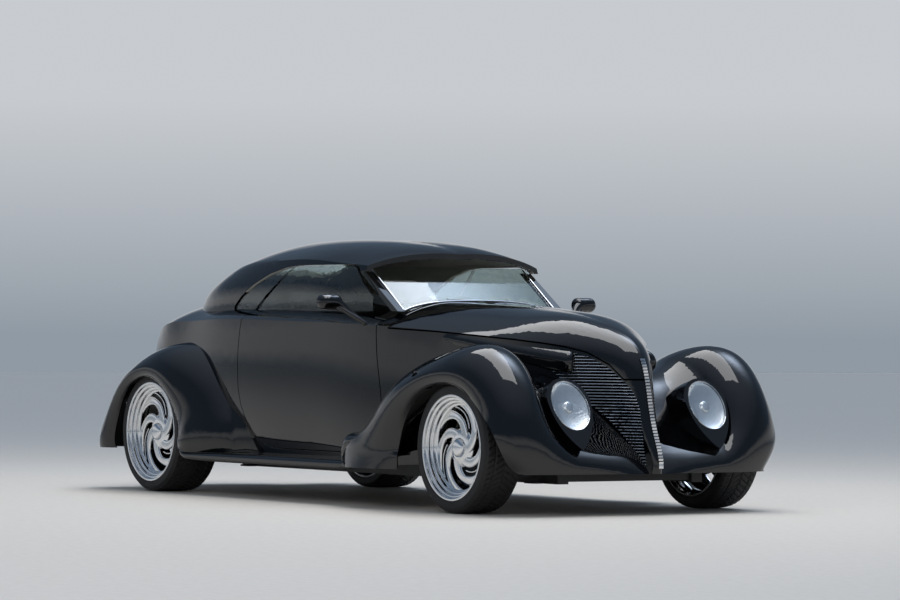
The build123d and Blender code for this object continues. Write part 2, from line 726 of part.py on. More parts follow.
# Wheels: name, x, side, tyre radius, rim radius, width, wheel centre y
wheels = [
    ("front_right", front_axle_x, -1, front_tyre_radius, front_rim_radius, front_tyre_width, front_wheel_y),
    ("front_left", front_axle_x, 1, front_tyre_radius, front_rim_radius, front_tyre_width, front_wheel_y),
    ("rear_right", rear_axle_x, -1, rear_tyre_radius, rear_rim_radius, rear_tyre_width, rear_wheel_y),
    ("rear_left", rear_axle_x, 1, rear_tyre_radius, rear_rim_radius, rear_tyre_width, rear_wheel_y),
]
for place, x, side, tyre_radius, rim_radius, width, wheel_y in wheels:
    face = wheel_plane(x, side * (wheel_y + width / 2), tyre_radius)
    rim_shape = rim_form(rim_radius, width, -side)
    tyre_shape = tyre_form(tyre_radius, rim_radius, width)
    with BuildPart() as rim_piece:
        with Locations(face.location):
            add(rim_shape)
    finish(rim_piece, f"rim_{place}")
    with BuildPart() as tyre_piece:
        with Locations(face.location):
            add(tyre_shape)
    finish(tyre_piece, f"tyre_{place}")

# Front running gear: crossmember with wishbones and damper posts, and an upright at each kingpin
arm_thickness = 22.0
lower_arm_z = 190.0
upper_arm_z = 414.0
arm_root_y = frame_rail_y + frame_rail_width / 2 + seat_gap
front_hub_y = front_wheel_y + front_tyre_width / 2 - rim_dish - 30
with BuildPart() as front_suspension:
    with Locations((front_axle_x, 0, 168)):
        Box(120, 2 * (frame_rail_y - frame_rail_width / 2 - seat_gap), 36)
    for side in (-1, 1):
        for z in (lower_arm_z, upper_arm_z):
            with BuildSketch(Plane.XY.offset(z)):
                with BuildLine():
                    Polyline(
                        (front_axle_x - 120, side * arm_root_y), (front_axle_x + 120, side * arm_root_y),
                        (front_axle_x + 24, side * (kingpin_y + 14)), (front_axle_x - 24, side * (kingpin_y + 14)),
                        close=True,
                    )
                make_face()
            extrude(amount=-arm_thickness)
        with Locations((front_axle_x, side * (arm_root_y + 30), 300)):
            Cylinder(26, 240)
        with Locations((front_axle_x, side * (arm_root_y + 10), 300)):
            Box(90, 20, 240)
finish(front_suspension, "front_suspension")
with BuildPart() as knuckle_right:
    with Locations((front_axle_x, -kingpin_y, (lower_arm_z + upper_arm_z - arm_thickness) / 2)):
        Box(52, 36, upper_arm_z - arm_thickness - lower_arm_z - 2 * seat_gap)
    with BuildSketch(Plane(origin=(front_axle_x, -kingpin_y, front_tyre_radius), x_dir=(1, 0, 0), z_dir=(0, -1, 0))):
        Circle(hub_radius)
    extrude(amount=front_hub_y - kingpin_y + 19)
    with BuildSketch(Plane(origin=(front_axle_x, -kingpin_y - 32, front_tyre_radius), x_dir=(1, 0, 0), z_dir=(0, -1, 0))):
        Circle(140)
        with Locations((-110, 0)):
            Rectangle(60, 120)
    extrude(amount=14)
    with BuildSketch(Plane(origin=(front_axle_x, -kingpin_y, front_tyre_radius), x_dir=(1, 0, 0), z_dir=(0, -1, 0))):
        Circle(60)
    extrude(amount=front_hub_y - kingpin_y - seat_gap)
finish(knuckle_right, "knuckle_right")
knuckle_left = mirrored("knuckle_left", knuckle_right)

# Rear axle: tube, round differential and a hub end each side
rear_rail_z = 401.0
rear_hub_y = rear_wheel_y + rear_tyre_width / 2 - rim_dish - 30
with BuildPart() as rear_axle:
    with Locations(Location((rear_axle_x, 0, rear_tyre_radius), (90, 0, 0))):
        Cylinder(38, 2 * (rear_hub_y - 40))
        Cylinder(hub_radius, 2 * (rear_hub_y + 19))
        Cylinder(60, 2 * (rear_hub_y - seat_gap))
        Cylinder(135, 150)
    with Locations((rear_axle_x, 0, rear_tyre_radius)):
        Sphere(118)
    for side in (-1, 1):
        with Locations((rear_axle_x, side * frame_rail_y, rear_rail_z - seat_gap - 35)):
            Box(110, 56, 70)
finish(rear_axle, "rear_axle")

# Frame: two rails that kick up over the rear axle, joined by crossmembers
rail_outline = [
    (1850, 225), (-940, 225), (-1120, 486), (-1500, 486), (-1640, 400), (-1800, 400),
    (-1800, 330), (-1600, 330), (-1480, rear_rail_z), (-1150, rear_rail_z), (-990, 140), (1850, 140),
]
cross_xs = [700, -80, -860]
with BuildPart() as chassis_frame:
    for side in (-1, 1):
        with BuildSketch(side_plane(side * frame_rail_y + frame_rail_width / 2)):
            with BuildLine():
                Polyline(*rail_outline, close=True)
            make_face()
        extrude(amount=frame_rail_width)
    for x in cross_xs:
        with Locations((x, 0, 210)):
            Box(70, 2 * frame_rail_y, 30)
    with Locations((1800, 0, 168)):
        Box(70, 2 * frame_rail_y, 36)
    with Locations((-1775, 0, 365)):
        Box(50, 2 * frame_rail_y, 50)
    for x in (1700, -880):
        for side in (-1, 1):
            with Locations((x, side * (frame_rail_y + 55), 144)):
                Box(80, 60, tie_down_plate)
            with Locations((x, side * (frame_rail_y + 60), 144)):
                Hole(tie_down_radius)
finish(chassis_frame, "chassis_frame")

with BuildPart() as floor_pan:
    with Locations((-147, 0, 230)):
        Box(1578, 1150, 10)
    with Locations((-100, 0, 260)):
        Box(1480, 260, 50)
    with Locations((636, 0, 580)):
        Box(12, 980, 710)
    add(body_skin, mode=Mode.SUBTRACT)
floor_solid = floor_pan.part.solids().sort_by(SortBy.VOLUME)[-1]
with BuildPart() as floor_pan:
    add(floor_solid)
finish(floor_pan, "floor_pan")

with BuildPart() as engine_block:
    with Locations((1080, 0, 505)):
        Box(620, 500, 520)
    for side in (-1, 1):
        with Locations((1080, side * 300, 225 + seat_gap + 19)):
            Box(90, 140, 38)
finish(engine_block, "engine_block")

with BuildPart() as seat:
    with Locations((-60, 0, 350)):
        Box(440, 940, 130)
    with BuildSketch(side_plane(470)):
        with BuildLine():
            Polyline((-270, 290), (-160, 290), (-250, 880), (-360, 880), close=True)
        make_face()
    extrude(amount=940)
finish(seat, "seat")

wheel_centre = (255.0, 330.0, 800.0)
column_foot = (600.0, 330.0, 560.0)
column_radius = 21.0
column_axis = Vector(column_foot[0] - wheel_centre[0], 0, column_foot[2] - wheel_centre[2]).normalized()
with BuildPart() as dashboard:
    with BuildSketch(side_plane(500)):
        with BuildLine():
            Polyline((436, 760), (470, 700), (629.7, 690), (629.7, 900), (500, 925), (452, 905), close=True)
        make_face()
    extrude(amount=1000)
    with Locations((520, wheel_centre[1], 640)):
        Box(40, 90, 140)
    with BuildSketch(Plane(origin=wheel_centre, x_dir=(0, 1, 0), z_dir=column_axis)):
        Circle(column_radius + seat_gap)
    extrude(amount=460, mode=Mode.SUBTRACT)
    add(body_skin, mode=Mode.SUBTRACT)
dash_solid = dashboard.part.solids().sort_by(SortBy.VOLUME)[-1]
with BuildPart() as dashboard:
    add(dash_solid)
finish(dashboard, "dashboard")
with BuildPart() as steering_wheel:
    with BuildSketch(Plane(origin=wheel_centre, x_dir=(0, 1, 0), z_dir=column_axis)):
        Circle(190)
        Circle(168, mode=Mode.SUBTRACT)
        with PolarLocations(0, 3, start_angle=90):
            with Locations((90, 0)):
                Rectangle(160, 22)
        Circle(34)
    extrude(amount=20)
    with BuildSketch(Plane(origin=wheel_centre, x_dir=(0, 1, 0), z_dir=column_axis)):
        Circle(column_radius)
    extrude(amount=400)
finish(steering_wheel, "steering_wheel")

with BuildPart() as exhaust:
    for side in (-1, 1):
        with BuildSketch(Plane(origin=(1000, side * 255, 162), x_dir=(0, 1, 0), z_dir=(-1, 0, 0))):
            Circle(23)
        extrude(amount=2960)
        with BuildSketch(Plane(origin=(-200, side * 240, 162), x_dir=(0, 1, 0), z_dir=(-1, 0, 0))):
            RectangleRounded(150, 50, 20)
        extrude(amount=420)
        for x in cross_xs:
            with Locations((x, side * 255, 185)):
                Box(20, 20, 20 - 2 * seat_gap)
finish(exhaust, "exhaust")

with BuildPart() as fuel_tank:
    with BuildSketch(Plane.XY.offset(240)):
        with Locations((-1610, 0)):
            RectangleRounded(250, 2 * (frame_rail_y - frame_rail_width / 2) - 2 * seat_gap, 50)
    extrude(amount=150)
finish(fuel_tank, "fuel_tank")
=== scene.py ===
# %% [markdown]
# # A low full-fendered hot rod: the look
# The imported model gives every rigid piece. This script dresses it: paint, bright metal, glass,
# tyres with tread, wheels, lamps and cabin trim, then a floor, soft light and the camera.
#
# The car faces +X and stands on the floor, and +Y is the driver's left. Shapes are worked out in
# millimetres, and MM turns them into the metres that Blender uses. A piece that comes in a pair is
# made once for each hand, with the hand's side, -1 or 1, before its distance from the middle.

import json
from collections import namedtuple

import bmesh
import bpy
import numpy as np
from mathutils import Matrix, Vector

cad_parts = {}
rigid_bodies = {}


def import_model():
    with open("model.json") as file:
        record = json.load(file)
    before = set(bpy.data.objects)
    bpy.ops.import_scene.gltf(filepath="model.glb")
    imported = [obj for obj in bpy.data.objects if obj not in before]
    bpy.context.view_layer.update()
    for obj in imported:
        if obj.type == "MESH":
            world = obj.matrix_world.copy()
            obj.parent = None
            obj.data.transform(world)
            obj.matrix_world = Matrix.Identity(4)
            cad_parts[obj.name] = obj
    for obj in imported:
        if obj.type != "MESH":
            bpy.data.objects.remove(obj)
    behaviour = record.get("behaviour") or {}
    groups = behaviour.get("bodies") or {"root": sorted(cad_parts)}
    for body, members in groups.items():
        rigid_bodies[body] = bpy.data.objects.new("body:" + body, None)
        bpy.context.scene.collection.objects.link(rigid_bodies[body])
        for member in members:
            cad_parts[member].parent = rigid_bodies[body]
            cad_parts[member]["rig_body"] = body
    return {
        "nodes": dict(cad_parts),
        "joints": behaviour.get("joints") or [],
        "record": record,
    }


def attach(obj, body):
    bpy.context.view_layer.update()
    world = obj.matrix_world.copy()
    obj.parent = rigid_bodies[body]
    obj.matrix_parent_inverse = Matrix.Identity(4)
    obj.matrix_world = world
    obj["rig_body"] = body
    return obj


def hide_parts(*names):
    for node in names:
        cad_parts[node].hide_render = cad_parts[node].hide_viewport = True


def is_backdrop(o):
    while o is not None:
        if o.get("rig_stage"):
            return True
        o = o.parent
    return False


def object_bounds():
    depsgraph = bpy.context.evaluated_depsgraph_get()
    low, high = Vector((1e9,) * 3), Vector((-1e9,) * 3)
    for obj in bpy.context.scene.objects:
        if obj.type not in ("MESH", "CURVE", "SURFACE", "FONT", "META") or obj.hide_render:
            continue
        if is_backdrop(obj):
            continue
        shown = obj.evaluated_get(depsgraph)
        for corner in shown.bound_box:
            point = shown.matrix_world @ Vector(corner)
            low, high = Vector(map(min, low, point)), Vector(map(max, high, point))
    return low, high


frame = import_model()
cad_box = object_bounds()
MM = 0.001
hands = ((-1, "right"), (1, "left"))

# %% [markdown]
# Colours are written as sRGB hex and turned into the linear numbers that shaders use. One small
# function adds any shader node, sets what is named and links what it is given.

# %% Colour and node helpers


def linear(hex_colour):
    """Linear red, green, blue and alpha 1 of an sRGB hex colour: ((c + 0.055) / 1.055) to the power 2.4."""
    channels = np.array([int(hex_colour[i:i + 2], 16) / 255 for i in (1, 3, 5)])
    low = channels / 12.92
    high = ((channels + 0.055) / 1.055) ** 2.4
    return (*np.where(channels <= 0.04045, low, high).tolist(), 1.0)


def add_node(tree, kind, links=(), **settings):
    """Add one shader node, set its inputs or properties by name, and link its inputs from other sockets."""
    node = tree.nodes.new(kind)
    for name, value in settings.items():
        match = [s for s in node.inputs if s.name.lower() == name.replace("_", " ").lower()]
        if match:
            match[0].default_value = value
        else:
            setattr(node, name, value)
    for socket, source in dict(links).items():
        tree.links.new(source, node.inputs[socket])
    return node


print("mid grey #808080 is", round(linear("#808080")[0], 3), "in linear light")

# %% [markdown]
# A real finish is never one flat colour. Noise in Object coordinates, with features of a stated
# size in millimetres, moves the roughness a little, blends two near shades and lifts a fine bump.
# Most of the noise lies between 0.3 and 0.7, so that span is what gets spread over the roughness.

# %% Finishes with grain
noise_low, noise_high = 0.3, 0.7
shade_stops = (0.35, 0.65)


def finish_of(name, shades, rough, grain, bump=0.0, stretch=(1, 1, 1), detail=3.0, **sockets):
    """A finish from two shades, a span of roughness, the grain size and the bump height in millimetres.

    The noise has 1000 / grain cells in a metre, and stretch makes them longer along an axis.
    """
    made = bpy.data.materials.new(name)
    made.use_nodes = True
    tree = made.node_tree
    shader = tree.nodes["Principled BSDF"]
    for socket, value in sockets.items():
        shader.inputs[socket.replace("_", " ")].default_value = value
    place = add_node(tree, "ShaderNodeTexCoord")
    drawn = add_node(tree, "ShaderNodeMapping", {"Vector": place.outputs["Object"]}, Scale=stretch)
    noise = add_node(
        tree, "ShaderNodeTexNoise", {"Vector": drawn.outputs[0]}, Scale=1.0 / (grain * MM), Detail=detail
    )
    spread = add_node(
        tree, "ShaderNodeMapRange", {"Value": noise.outputs[0]},
        From_Min=noise_low, From_Max=noise_high, To_Min=rough[0], To_Max=rough[1],
    )
    tree.links.new(spread.outputs[0], shader.inputs["Roughness"])
    ramp = add_node(tree, "ShaderNodeValToRGB", {0: noise.outputs[0]})
    for stop, position, shade in zip(ramp.color_ramp.elements, shade_stops, shades):
        stop.position = position
        stop.color = linear(shade)
    tree.links.new(ramp.outputs[0], shader.inputs["Base Color"])
    if bump:
        relief = add_node(
            tree, "ShaderNodeBump", {"Height": noise.outputs[0]}, Strength=1.0, Distance=bump * MM
        )
        tree.links.new(relief.outputs[0], shader.inputs["Normal"])
    return made


print("a grain of 8 mm gives", round(1 / (8 * MM)), "cells of noise in a metre")

# %% [markdown]
# The body is sprayed and polished lacquer. A near-black base that doesn't shine by itself lies under
# a hard clear coat, so what the eye sees is the room, mirrored in the coat. The base has an orange
# peel of about 8 mm. The frame under it has plain satin enamel, which shows a broad dull sheen.

# %% Paints
lacquer = {"Coat_Weight": 1.0, "Coat_Roughness": 0.025, "Coat_IOR": 1.6, "Specular_IOR_Level": 0.0}
paint = finish_of("gloss_black_lacquer", ("#030304", "#050608"), (0.30, 0.40), 8, bump=0.003, **lacquer)
satin = finish_of("satin_black_enamel", ("#0a0a0b", "#121213"), (0.4, 0.55), 3, bump=0.02)
print("paints:", paint.name, satin.name)

# %% [markdown]
# - Polished stainless steel, billet aluminium and chrome plate mirror the room. Polishing leaves
#   faint smudges 30 to 40 mm across, and billet is a shade whiter than steel.
# - Brushed steel has its scratches drawn out along the pipe, so its noise is stretched twentyfold.
# - Cast iron is dull and pitted. A lamp's aluminised bowl is stippled, so it scatters what it mirrors
#   and reads as a pale glow.

# %% Metals
bright = finish_of("polished_stainless", ("#d2d4d8", "#dfe1e4"), (0.07, 0.16), 30, Metallic=1.0)
billet = finish_of("polished_billet_aluminium", ("#dcddde", "#e8e9ea"), (0.03, 0.07), 40, Metallic=1.0)
chrome = finish_of("chrome_plate", ("#dcdee0", "#e6e7e9"), (0.03, 0.06), 40, Metallic=1.0)
brushed = finish_of(
    "brushed_steel", ("#85878a", "#96989b"), (0.25, 0.42), 2, bump=0.01, stretch=(0.05, 1, 1), Metallic=1.0
)
cast = finish_of("cast_iron_grey", ("#303133", "#434446"), (0.5, 0.7), 1.6, bump=0.15, Metallic=0.7)
reflector = finish_of("aluminised_reflector", ("#f0f2f4", "#f6f7f8"), (0.30, 0.36), 12, Metallic=1.0)
print("metals:", *(metal.name for metal in (bright, billet, chrome, brushed, cast, reflector)))

# %% [markdown]
# - Moulded road rubber is dark and matt, with a dusty bloom.
# - Seat leather has a grain of 3 mm, and the steering wheel's leather one of 2 mm.
# - Headliner cloth and loop carpet are matt, with a soft sheen where they turn away from the eye. The
#   carpet's loops are 4 mm.
# - The gauges' dials are smooth cream enamel.

# %% Rubber, leather and cloth
rubber = finish_of("road_tyre_rubber", ("#101011", "#1a1918"), (0.55, 0.75), 5, bump=0.05, detail=6.0)
leather = finish_of("dark_seat_leather", ("#241f1d", "#2f2926"), (0.42, 0.58), 3, bump=0.12, detail=5.0)
grip = finish_of("dark_wheel_leather", ("#121212", "#1b1a1a"), (0.38, 0.5), 2, bump=0.08)
cloth = finish_of("pale_headliner_cloth", ("#b9b3a6", "#c8c2b5"), (0.85, 0.95), 2, bump=0.1, Sheen_Weight=0.3)
carpet = finish_of(
    "charcoal_loop_carpet", ("#262423", "#3a3735"), (0.9, 1.0), 4, bump=0.6, Sheen_Weight=0.2
)
dial = finish_of("cream_dial_enamel", ("#d8d2c0", "#ded9c9"), (0.3, 0.4), 2)
print("cabin and tyres:", *(made.name for made in (rubber, leather, grip, cloth, carpet, dial)))

# %% [markdown]
# Window glass and the lamps' covers let light through and bend it a little less than soda-lime glass
# does. The window glass has a faint green tint. The tail lamps' acrylic is a deep red under a gloss
# skin, and lets no light through, because a parked car's lamps are dark.

# %% Glass and lenses
red_lens = finish_of("red_lamp_acrylic", ("#5c0404", "#780808"), (0.05, 0.09), 12, Coat_Weight=1.0)
tinted = finish_of(
    "window_glass", ("#dde7e4", "#e3ece9"), (0.0, 0.004), 200, Transmission_Weight=1.0, IOR=1.45
)
lens = finish_of(
    "lamp_cover_glass", ("#f2f5f6", "#f7f9fa"), (0.0, 0.02), 20, Transmission_Weight=1.0, IOR=1.45
)
print(len(bpy.data.materials), "finishes in all")

# %% [markdown]
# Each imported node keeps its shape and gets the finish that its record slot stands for.

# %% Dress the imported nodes
slot_finish = {
    "black_paint": paint, "bright_metal": bright, "tinted_glass": tinted, "lens_glass": lens,
    "red_lens": red_lens, "polished_aluminium": billet, "tyre_rubber": rubber, "chassis_paint": satin,
    "engine_metal": cast, "exhaust_steel": brushed, "seat_leather": leather, "dash_paint": satin,
    "wheel_rim_plastic": grip,
}
node_slot = {part["node"]: part["material_slot"] for part in frame["record"]["subparts"]}
for name, slot in node_slot.items():
    for holder in frame["nodes"][name].material_slots:
        holder.material = slot_finish[slot]
print(len(node_slot), "nodes dressed")

# %% [markdown]
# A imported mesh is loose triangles, so each corner is flat. A copy with its doubles merged can be
# shaded smooth up to its real edges, which is what pressed and painted sheet metal looks like.

# %% Smooth copies of the painted and machined nodes
merge_distance = 0.01 * MM


def link(mesh, name, body):
    """Put a mesh in the scene as a piece that rides on a body."""
    piece = bpy.data.objects.new(name, mesh)
    bpy.context.collection.objects.link(piece)
    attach(piece, body)
    return piece


def corners_of(mesh):
    """A mesh's vertex places, as rows of x, y and z."""
    places = np.empty(len(mesh.vertices) * 3, np.float32)
    mesh.vertices.foreach_get("co", places)
    return places.reshape(-1, 3)


def smooth_copy(node_name, sharp_degrees=32.0):
    """A merged copy of a node: corners in one small cube become one, and edges over the angle stay sharp."""
    source = frame["nodes"][node_name]
    places = corners_of(source.data)
    loops = np.empty(len(source.data.loops), np.int32)
    source.data.loops.foreach_get("vertex_index", loops)
    grid = np.round(places / merge_distance).astype(np.int64)
    _, first, renumber = np.unique(grid, axis=0, return_index=True, return_inverse=True)
    a, b, c = renumber.reshape(-1)[loops].reshape(-1, 3).T
    whole = (a != b) & (b != c) & (a != c)
    mesh = bpy.data.meshes.new("smooth_" + node_name)
    mesh.from_pydata(places[first].tolist(), [], np.stack([a, b, c], axis=1)[whole].tolist())
    mesh.shade_smooth()
    mesh.set_sharp_from_angle(angle=np.radians(sharp_degrees))
    mesh.materials.append(slot_finish[node_slot[node_name]])
    piece = link(mesh, "smooth_" + node_name, source["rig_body"])
    even = piece.modifiers.new("even_normals", "WEIGHTED_NORMAL")
    even.keep_sharp = True
    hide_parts(node_name)
    return piece


smooth_slots = {"black_paint", "bright_metal", "tinted_glass", "wheel_rim_plastic"}
kept_for_later = {"nose_strip", "grille_bars"}
skins = {}
for name, slot in node_slot.items():
    if slot in smooth_slots and name not in kept_for_later:
        skins[name] = smooth_copy(name)
print(len(skins), "smooth copies")

# %% [markdown]
# The cabin is trimmed inside: pale cloth under the roof, carpet on the tub and leather cards on the
# doors. The walls are one solid each, so the faces that look towards the cabin's middle line are
# found from their centres and normals, and take the trim as a second finish. The cabin's ends and
# the height of its middle are in metres, and the trim runs on a little behind and ahead of them.

# %% Cabin trim on the inner faces
cabin_rear, cabin_front, cabin_middle = -0.75, 0.35, 0.75
behind, ahead_of = 0.5, 0.3


def line_inside(piece, trim, least_turn=0.4):
    """Give faces the trim where the cosine between normal and way to the cabin's middle is over a limit."""
    mesh = piece.data
    mesh.materials.append(trim)
    centres = np.empty(len(mesh.polygons) * 3, np.float32)
    normals = np.empty(len(mesh.polygons) * 3, np.float32)
    mesh.polygons.foreach_get("center", centres)
    mesh.polygons.foreach_get("normal", normals)
    centres, normals = centres.reshape(-1, 3), normals.reshape(-1, 3)
    middle = np.zeros_like(centres)
    middle[:, 0] = np.clip(centres[:, 0], cabin_rear, cabin_front)
    middle[:, 2] = cabin_middle
    inward = middle - centres
    turn = np.sum(inward * normals, axis=1) / np.linalg.norm(inward, axis=1)
    x = centres[:, 0]
    inside = (turn > least_turn) & (x > cabin_rear - behind) & (x < cabin_front + ahead_of)
    mesh.polygons.foreach_set("material_index", inside.astype(np.int32))
    print(piece.name, int(inside.sum()), "faces trimmed")


line_inside(skins["hard_top"], cloth)
line_inside(skins["body_tub"], carpet)
for _, hand in hands:
    line_inside(skins["door_" + hand], leather, least_turn=0.6)

# %% [markdown]
# New pieces are surfaces worked out with numpy. A grid of points is a sheet whose rows and columns
# may close on themselves. Where a row or column shrinks to a point, the doubles are welded.

# %% Surfaces on a grid
weld_distance = 0.002 * MM


def surface(
    name, grids, finish, body, wrap_rows=True, wrap_columns=True, caps=False, sharp=45.0,
):
    """A closed smooth skin through grids of points in metres, rows by columns, faced outwards.

    All grids of one piece have the same size. With caps, the mean point of the first and the last
    row is added at the ends, so a tube closes. Edges over the sharp angle, in degrees, stay sharp.
    """
    grids = np.asarray(grids)
    if grids.ndim == 3:
        grids = grids[None]
    if caps:
        tips = [grids[:, row].mean(axis=1)[:, None, None] for row in (0, -1)]
        first, last = (np.broadcast_to(tip, grids[:, :1].shape) for tip in tips)
        grids = np.concatenate([first, grids, last], axis=1)
        wrap_rows = False
    count, rows, columns = grids.shape[:3]
    r = np.arange(rows if wrap_rows else rows - 1)
    c = np.arange(columns if wrap_columns else columns - 1)
    r, c = (index.ravel() for index in np.meshgrid(r, c, indexing="ij"))
    next_r, next_c = (r + 1) % rows, (c + 1) % columns
    corners = (r * columns + c, next_r * columns + c, next_r * columns + next_c, r * columns + next_c)
    quads = np.stack(corners, axis=1)[None] + rows * columns * np.arange(count)[:, None, None]
    mesh = bpy.data.meshes.new(name)
    mesh.from_pydata(grids.reshape(-1, 3).tolist(), [], quads.reshape(-1, 4).tolist())
    shell = bmesh.new()
    shell.from_mesh(mesh)
    bmesh.ops.remove_doubles(shell, verts=shell.verts, dist=weld_distance)
    bmesh.ops.recalc_face_normals(shell, faces=shell.faces)
    shell.to_mesh(mesh)
    shell.free()
    mesh.shade_smooth()
    mesh.set_sharp_from_angle(angle=np.radians(sharp))
    mesh.materials.append(finish)
    return link(mesh, name, body)


print("skins weld points within", round(weld_distance / MM, 4), "mm")

# %% [markdown]
# Three more helpers shape the grids. One gives the angles once round a circle. One raises a sine or
# cosine to a power and keeps its sign, which squares a circle off when the power is under one. One
# draws a smooth curve through a few points, so an outline needs only the points that its shape has.

# %% Angles, powers and smooth lines


def once_round(steps):
    """Equal steps of angle round a circle, where the last one is a step short of the first."""
    return np.linspace(0, 2 * np.pi, steps, endpoint=False)


def signed_power(value, power):
    """The value's size raised to a power, with its sign kept."""
    return np.sign(value) * np.abs(value) ** power


def smooth_line(points, per_span):
    """A cubic curve through the points: each span leaves and meets its ends at its neighbours' slopes."""
    points = np.asarray(points, float)
    ends = np.vstack([2 * points[0] - points[1], points, 2 * points[-1] - points[-2]])
    t = np.linspace(0, 1, per_span, endpoint=False)[None, :, None]
    p0, p1, p2, p3 = (ends[k:len(ends) - 3 + k, None, :] for k in range(4))
    curve = p1 + 0.5 * t * (p2 - p0) + t**2 * (p0 - 2.5 * p1 + 2 * p2 - 0.5 * p3)
    curve = curve + 0.5 * t**3 * (3 * p1 - p0 - 3 * p2 + p3)
    return np.vstack([curve.reshape(-1, points.shape[1]), points[-1:]])


corner = smooth_line([(0, 0), (1, 0), (1, 1)], 8)
print("three points of a corner give a curve of", len(corner), "points")

# %% [markdown]
# All four wheels share one set of coordinates: a radius, a turn measured from the nose upwards, and
# a depth inwards from the wheel's outer face. Each axle's place is read from the joint that the
# wheel turns on: its way along the car, and its middle's distance from the car's middle plane. The
# tyre stands on the floor, so its radius is the axle's height.

# %% Wheel coordinates
Wheel = namedtuple("Wheel", "place side x middle tyre_radius rim_radius width")
axle_places = {joint["name"]: np.array(joint["pos_m"]) / MM for joint in frame["joints"]}
rim_radius_of = {"front": 244.0, "rear": 256.0}
tyre_width_of = {"front": 205.0, "rear": 245.0}
wheels = []
for axle in ("front", "rear"):
    for side, hand in hands:
        x, y, z = axle_places[f"spin_{axle}_{hand}"]
        sizes = rim_radius_of[axle], tyre_width_of[axle]
        wheels.append(Wheel(f"{axle}_{hand}", side, x, abs(y), z, *sizes))


def on_wheel(wheel, radius, turn, depth):
    """Centre plus radius along the turn, and the outer face less the depth along the axle, in metres."""
    radius, turn, depth = np.broadcast_arrays(radius, turn, depth)
    x = wheel.x + radius * np.cos(turn)
    y = wheel.side * (wheel.middle + wheel.width / 2 - depth)
    z = wheel.tyre_radius + radius * np.sin(turn)
    return MM * np.stack([x, y, z], axis=-1)


def spun(wheel, profile, steps):
    """A profile of radius and depth carried once round the axle, as a grid of turns by profile points."""
    return on_wheel(wheel, profile[None, :, 0], once_round(steps)[:, None], profile[None, :, 1])


for wheel in wheels:
    print(wheel.place, "axle at", round(wheel.x), round(wheel.side * wheel.middle), round(wheel.tyre_radius))

# %% [markdown]
# A road tyre is a moulded rubber ring: bulged sidewalls, rounded shoulders and a tread cut by rings
# and slanted grooves. Its section is swept round the axle, and the grooves are made by lowering the
# radius wherever the groove pattern is deep. Three rings stand at shares of the half width. The
# slanted grooves lag behind the pitch as they run outwards, and break off beside the outer rings.

# %% Tyres
tread_pitches, steps_per_pitch, crown_points = 60, 8, 41
tread_inset, shoulder_drop = 14.0, 4.5
groove_depth, groove_top, groove_flank = 5.5, 7.0, 3.0
ring_half_width, ring_places = 3.6, (-0.52, 0.0, 0.52)
slant_lag, slant_share, slant_depth = 46.0, 0.13, 0.8
slant_break, slant_gap = 0.5, 3.0


def tyre_grid(wheel):
    """The section's radius is cut by the larger of a ring pattern and a slanted one, on the tread only."""
    radius, rim_radius, half = wheel.tyre_radius, wheel.rim_radius, wheel.width / 2
    flank = [
        (rim_radius + 0.6, half - 3), (rim_radius + 6, half + 0.4), (rim_radius + 15, half + 0.8),
        ((rim_radius + radius) / 2 + 6, half + 0.6), (radius - 14, half - 5),
        (radius - shoulder_drop, half - tread_inset),
    ]
    wall = smooth_line(flank, 5)[:-1]
    across = np.linspace(half - tread_inset, tread_inset - half, crown_points)
    crown = radius - shoulder_drop * (np.abs(across) / (half - tread_inset)) ** 4
    section = np.vstack([wall, np.stack([crown, across], axis=1), (wall * (1, -1))[::-1]])
    turn = once_round(tread_pitches * steps_per_pitch)[:, None]
    r, w = section[:, 0][None, :], section[:, 1][None, :]
    on_tread = np.clip((r - (radius - groove_top)) / groove_flank, 0, 1)
    ring = np.max([np.exp(-(((w - k * half) / ring_half_width) ** 4)) for k in ring_places], axis=0)
    phase = turn * tread_pitches / (2 * np.pi) + np.abs(w) / slant_lag
    in_slant = np.abs(phase - np.round(phase)) < slant_share
    off_break = np.abs(np.abs(w) - slant_break * half) > slant_gap
    groove = np.maximum(ring, in_slant * off_break * slant_depth)
    return on_wheel(wheel, r - groove_depth * on_tread * groove, turn, half - w)


for wheel in wheels:
    body = "wheel_" + wheel.place
    tyre = surface("road_tyre_" + wheel.place, tyre_grid(wheel), rubber, body)
    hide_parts("tyre_" + wheel.place)
    print(tyre.name, len(tyre.data.polygons), "faces")

# %% [markdown]
# The wheels are polished billet: a deep lip turned in three steps, a hub that rises to a cone and a
# domed cap. Each is an outline of radius and depth, spun round the axle. The lip's outline is
# measured from the rim's own radius, so that it serves both sizes of wheel.

# %% Outlines of lip, hub and cap


def lip_profile(rim_radius, width):
    """The closed outline of the barrel: three turned steps outside, a plain drop behind."""
    face = [
        (0, 10), (0, 1.5), (-2.5, 0), (-9, 0.6), (-12, 3), (-13.5, 12), (-16, 15), (-23, 16.5),
        (-25.5, 19), (-27, 29), (-29.5, 32), (-36, 33.5), (-38.5, 36), (-40, 46), (-42, 49), (-47, 50.5),
        (-50, 53), (-52, 64), (-53, 82), (-40, 94), (-24, 106), (-19, 124),
    ]
    back = [
        (-18.4, width - 16), (-10, width - 4), (-8, width), (-1.5, width), (0, width - 2), (0, width - 10),
    ]
    seat = [(-12, width - 14), (-12, 14)]
    return np.vstack([smooth_line(face, 3), back, seat]) + (rim_radius, 0)


hub_profile = smooth_line([
    (0, 74), (60, 74), (86, 70), (92, 64), (86, 56), (70, 50), (50, 46), (30, 45), (0, 45),
], 4)
cap_profile = smooth_line([
    (0, 24), (14, 24.6), (28, 27), (38, 31.5), (43, 37), (45, 44), (45, 52), (20, 54), (0, 54),
], 5)
print("hub and cap outlines of", len(hub_profile), "and", len(cap_profile), "points")

